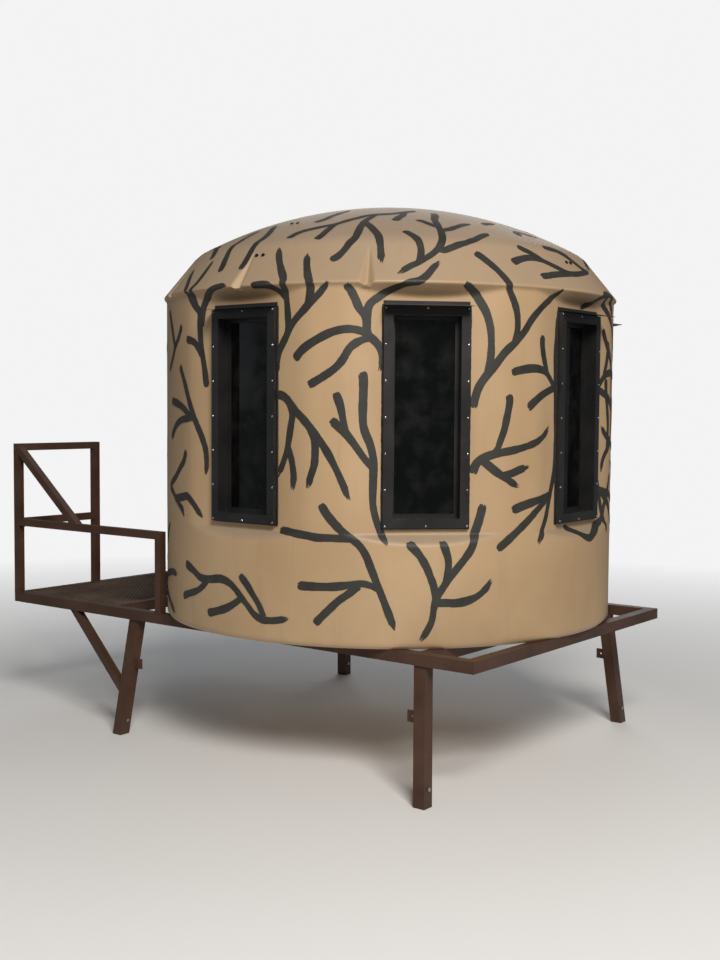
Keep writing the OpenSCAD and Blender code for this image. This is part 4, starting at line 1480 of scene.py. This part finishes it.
@dataclass
class Deck:
    """The porch floor of expanded steel."""

    paints: Paintbox
    pitch: float = 15 * MM
    swing: float = 6.5 * MM
    strand_w: float = 3.2 * MM
    strand_t: float = 4.6 * MM

    def build(self) -> bpy.types.Object:
        """Weaves the strands across the deck.

        Returns:
            The mesh, in place of the plain plate.
        """
        low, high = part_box("deck_mesh")
        count = int((high.x - low.x - 2 * self.swing) / (2 * self.swing)) + 1
        steps = int((high.y - low.y) / self.pitch) - 1
        pitch = (high.y - low.y) / (steps + 1)
        swing = (high.x - low.x) / (2 * count)
        middle = (low.z + high.z) / 2
        recipe = GeometryRecipe("expanded_steel", {
            "Strands": count, "Steps": steps + 1, "Pitch": pitch, "Swing": swing,
            "Width": self.strand_w, "Thickness": self.strand_t, "Finish": self.paints.by_slot[Slot.DECK]})
        step = recipe.vector(Y=recipe.size("Pitch"))
        line = recipe.node("GeometryNodeMeshLine", sockets={"Count": recipe.size("Steps"), "Offset": step})
        index = recipe.node("GeometryNodeInputIndex")
        odd = recipe.math("MODULO", index, 2.0)
        sway = recipe.math("MULTIPLY", recipe.math("MULTIPLY_ADD", odd, -2.0, 1.0), recipe.size("Swing"))
        aside = recipe.vector(X=sway)
        line = recipe.node("GeometryNodeSetPosition", sockets={0: line, "Offset": aside})
        path = recipe.node("GeometryNodeMeshToCurve", sockets={0: line})
        bar = recipe.node("GeometryNodeCurvePrimitiveQuadrilateral", sockets={
            "Width": recipe.size("Width"), "Height": recipe.size("Thickness")})
        strand = recipe.node("GeometryNodeCurveToMesh", sockets={
            "Curve": path, "Profile Curve": bar, "Fill Caps": True})
        apart = recipe.vector(X=recipe.math("MULTIPLY", recipe.size("Swing"), 2.0))
        first = (low.x + swing, low.y, middle)
        row = recipe.node("GeometryNodeMeshLine", sockets={
            "Count": recipe.size("Strands"), "Start Location": first, "Offset": apart})
        shift = recipe.vector(Y=recipe.math("MULTIPLY", odd, recipe.size("Pitch")))
        row = recipe.node("GeometryNodeSetPosition", sockets={0: row, "Offset": shift})
        woven = recipe.node("GeometryNodeInstanceOnPoints", sockets={
            "Points": recipe.node("GeometryNodeMeshToPoints", sockets={0: row}), "Instance": strand})
        made = recipe.run(mesh_of("deck_carrier", [(0, 0, 0)]), woven, "expanded_deck")
        return finish_piece(made, "blind", Slot.DECK, "deck_mesh")


@dataclass
class Stand:
    """Weld beads where the stand's tubes meet."""

    paints: Paintbox
    bead: float = 2.2 * MM
    margin: float = 4.5 * MM

    def solids(self, node: str) -> list[tuple[Vector, Vector]]:
        """The box of each separate solid in a node.

        Args:
            node: the node's name.

        Returns:
            Lowest and highest corners.
        """
        copy = bmesh.new()
        copy.from_mesh(frame["nodes"][node].data)
        bmesh.ops.remove_doubles(copy, verts=copy.verts, dist=0.01 * MM)
        left = set(copy.verts)
        found: list[tuple[Vector, Vector]] = []
        while left:
            todo = [left.pop()]
            low, high = todo[0].co.copy(), todo[0].co.copy()
            while todo:
                vert = todo.pop()
                low = Vector(map(min, low, vert.co))
                high = Vector(map(max, high, vert.co))
                near = {e.other_vert(vert) for e in vert.link_edges} & left
                left -= near
                todo += near
            found.append((low, high))
        copy.free()
        return sorted(found, key=lambda b: tuple(round(c, 4) for c in b[0]))

    def build(self) -> bpy.types.Object:
        """Welds the posts to the rails.

        Returns:
            The beads.
        """
        beads = Beads("post_welds", Slot.STEEL, self.bead, 3 * MM, 5 * MM)
        for node in ("guard_posts_right", "guard_posts_left"):
            for low, high in self.solids(node):
                z = low.z + 1 * MM
                near, far = CAD_BOX[0].x + self.margin, CAD_BOX[1].x - self.margin
                corners = ((low.x, low.y), (high.x, low.y), (high.x, high.y), (low.x, high.y))
                beads.loops.append([Vector((min(max(x, near), far), y, z)) for x, y in corners])
        return beads.build(self.paints.by_slot[Slot.STEEL])


# ---- the studio ----


@dataclass(frozen=True)
class Studio:
    """Pale floor, soft light and the camera."""

    paints: Paintbox
    lens: float = 46.54
    spot: tuple[float, float, float] = (4.0903, -5.0594, 1.6487)
    look: tuple[float, float, float] = (-0.6098, 0.7904, -0.0586)
    roll: float = 0.389
    film: float = 36.0
    aim: tuple[float, float, float] = (0.2, 0.0, 1.4)
    ambient: float = 0.13
    reach: float = 40.0
    lamps: tuple[tuple[Any, ...], ...] = (
        ("key", (6.1, -5.3, 6.6), 3.0, 720, (1.0, 0.955, 0.9)),
        ("fill", (-6.5, -5.0, 4.0), 5.0, 14, (0.9, 0.95, 1.0)),
        ("back", (-4.0, 7.0, 5.0), 5.0, 150, (0.95, 0.97, 1.0)),
    )

    def floor(self) -> None:
        """Lays the floor."""
        far = self.reach
        corners = [(-far, -far, 0), (far, -far, 0), (far, far, 0), (-far, far, 0)]
        ground = piece("studio_floor", mesh_of("studio_floor", corners, [(0, 1, 2, 3)]))
        ground.data.materials.append(self.paints.backdrop)

    def lamp(self, name: str, place: Sequence[float], size: float, power: float,
             tint: Sequence[float]) -> None:
        """Hangs one soft lamp that looks at the blind.

        Args:
            name: the lamp's name.
            place: where it hangs.
            size: its width.
            power: its watts.
            tint: its colour.
        """
        data = bpy.data.lights.new(name, "AREA")
        data.size = size
        data.energy = power
        data.color = tint
        lamp = piece(name, data)
        lamp.location = place
        ray = Vector(self.aim) - Vector(place)
        lamp.rotation_euler = ray.to_track_quat("-Z", "Y").to_euler()

    def camera(self) -> None:
        """Stands the camera at the front right of the blind."""
        ahead = Vector(self.look).normalized()
        right = ahead.cross(Vector((0, 0, 1))).normalized()
        up = right.cross(ahead)
        tilt = math.radians(self.roll)
        across = right * math.cos(tilt) + up * math.sin(tilt)
        upward = up * math.cos(tilt) - right * math.sin(tilt)
        data = bpy.data.cameras.new("camera")
        data.lens = self.lens
        data.sensor_width = self.film
        eye = piece("camera", data)
        turn = Matrix((across, upward, -ahead)).transposed()
        eye.matrix_world = Matrix.Translation(self.spot) @ turn.to_4x4()
        bpy.context.scene.camera = eye

    def build(self) -> None:
        """Builds the whole studio."""
        self.floor()
        for lamp in self.lamps:
            self.lamp(*lamp)
        self.camera()
        self.air()
        bpy.context.scene.view_settings.view_transform = "Standard"

    def air(self) -> None:
        """Fills the studio with dim air that looks white behind the blind."""
        world = bpy.data.worlds.new("studio_air")
        world.use_nodes = True
        tree = world.node_tree
        tree.nodes.clear()
        dim = add_node(tree, "ShaderNodeBackground", sockets={
            "Color": (0.93, 0.96, 1.0, 1.0), "Strength": self.ambient})
        bright = add_node(tree, "ShaderNodeBackground", sockets={"Color": (0.9, 0.9, 0.9, 1.0)})
        path = add_node(tree, "ShaderNodeLightPath")
        mix = add_node(tree, "ShaderNodeMixShader", sockets={
            0: path.outputs["Is Camera Ray"], 1: dim.outputs[0], 2: bright.outputs[0]})
        add_node(tree, "ShaderNodeOutputWorld", sockets={0: mix.outputs[0]})
        bpy.context.scene.world = world


def main() -> None:
    """Builds the blind's looks round the frame."""
    logging.basicConfig(level=logging.INFO, format="%(name)s: %(message)s")
    low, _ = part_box("tank_shell")
    paints = Paintbox(low.z)
    Studio(paints).build()
    paints.dress_frame()
    shell = Shell(paints)
    skin = shell.build()
    Branches(shell, paints).build(skin)
    Windows(shell, paints).build()
    Deck(paints).build()
    Stand(paints).build()


if __name__ == "__main__":
    main()
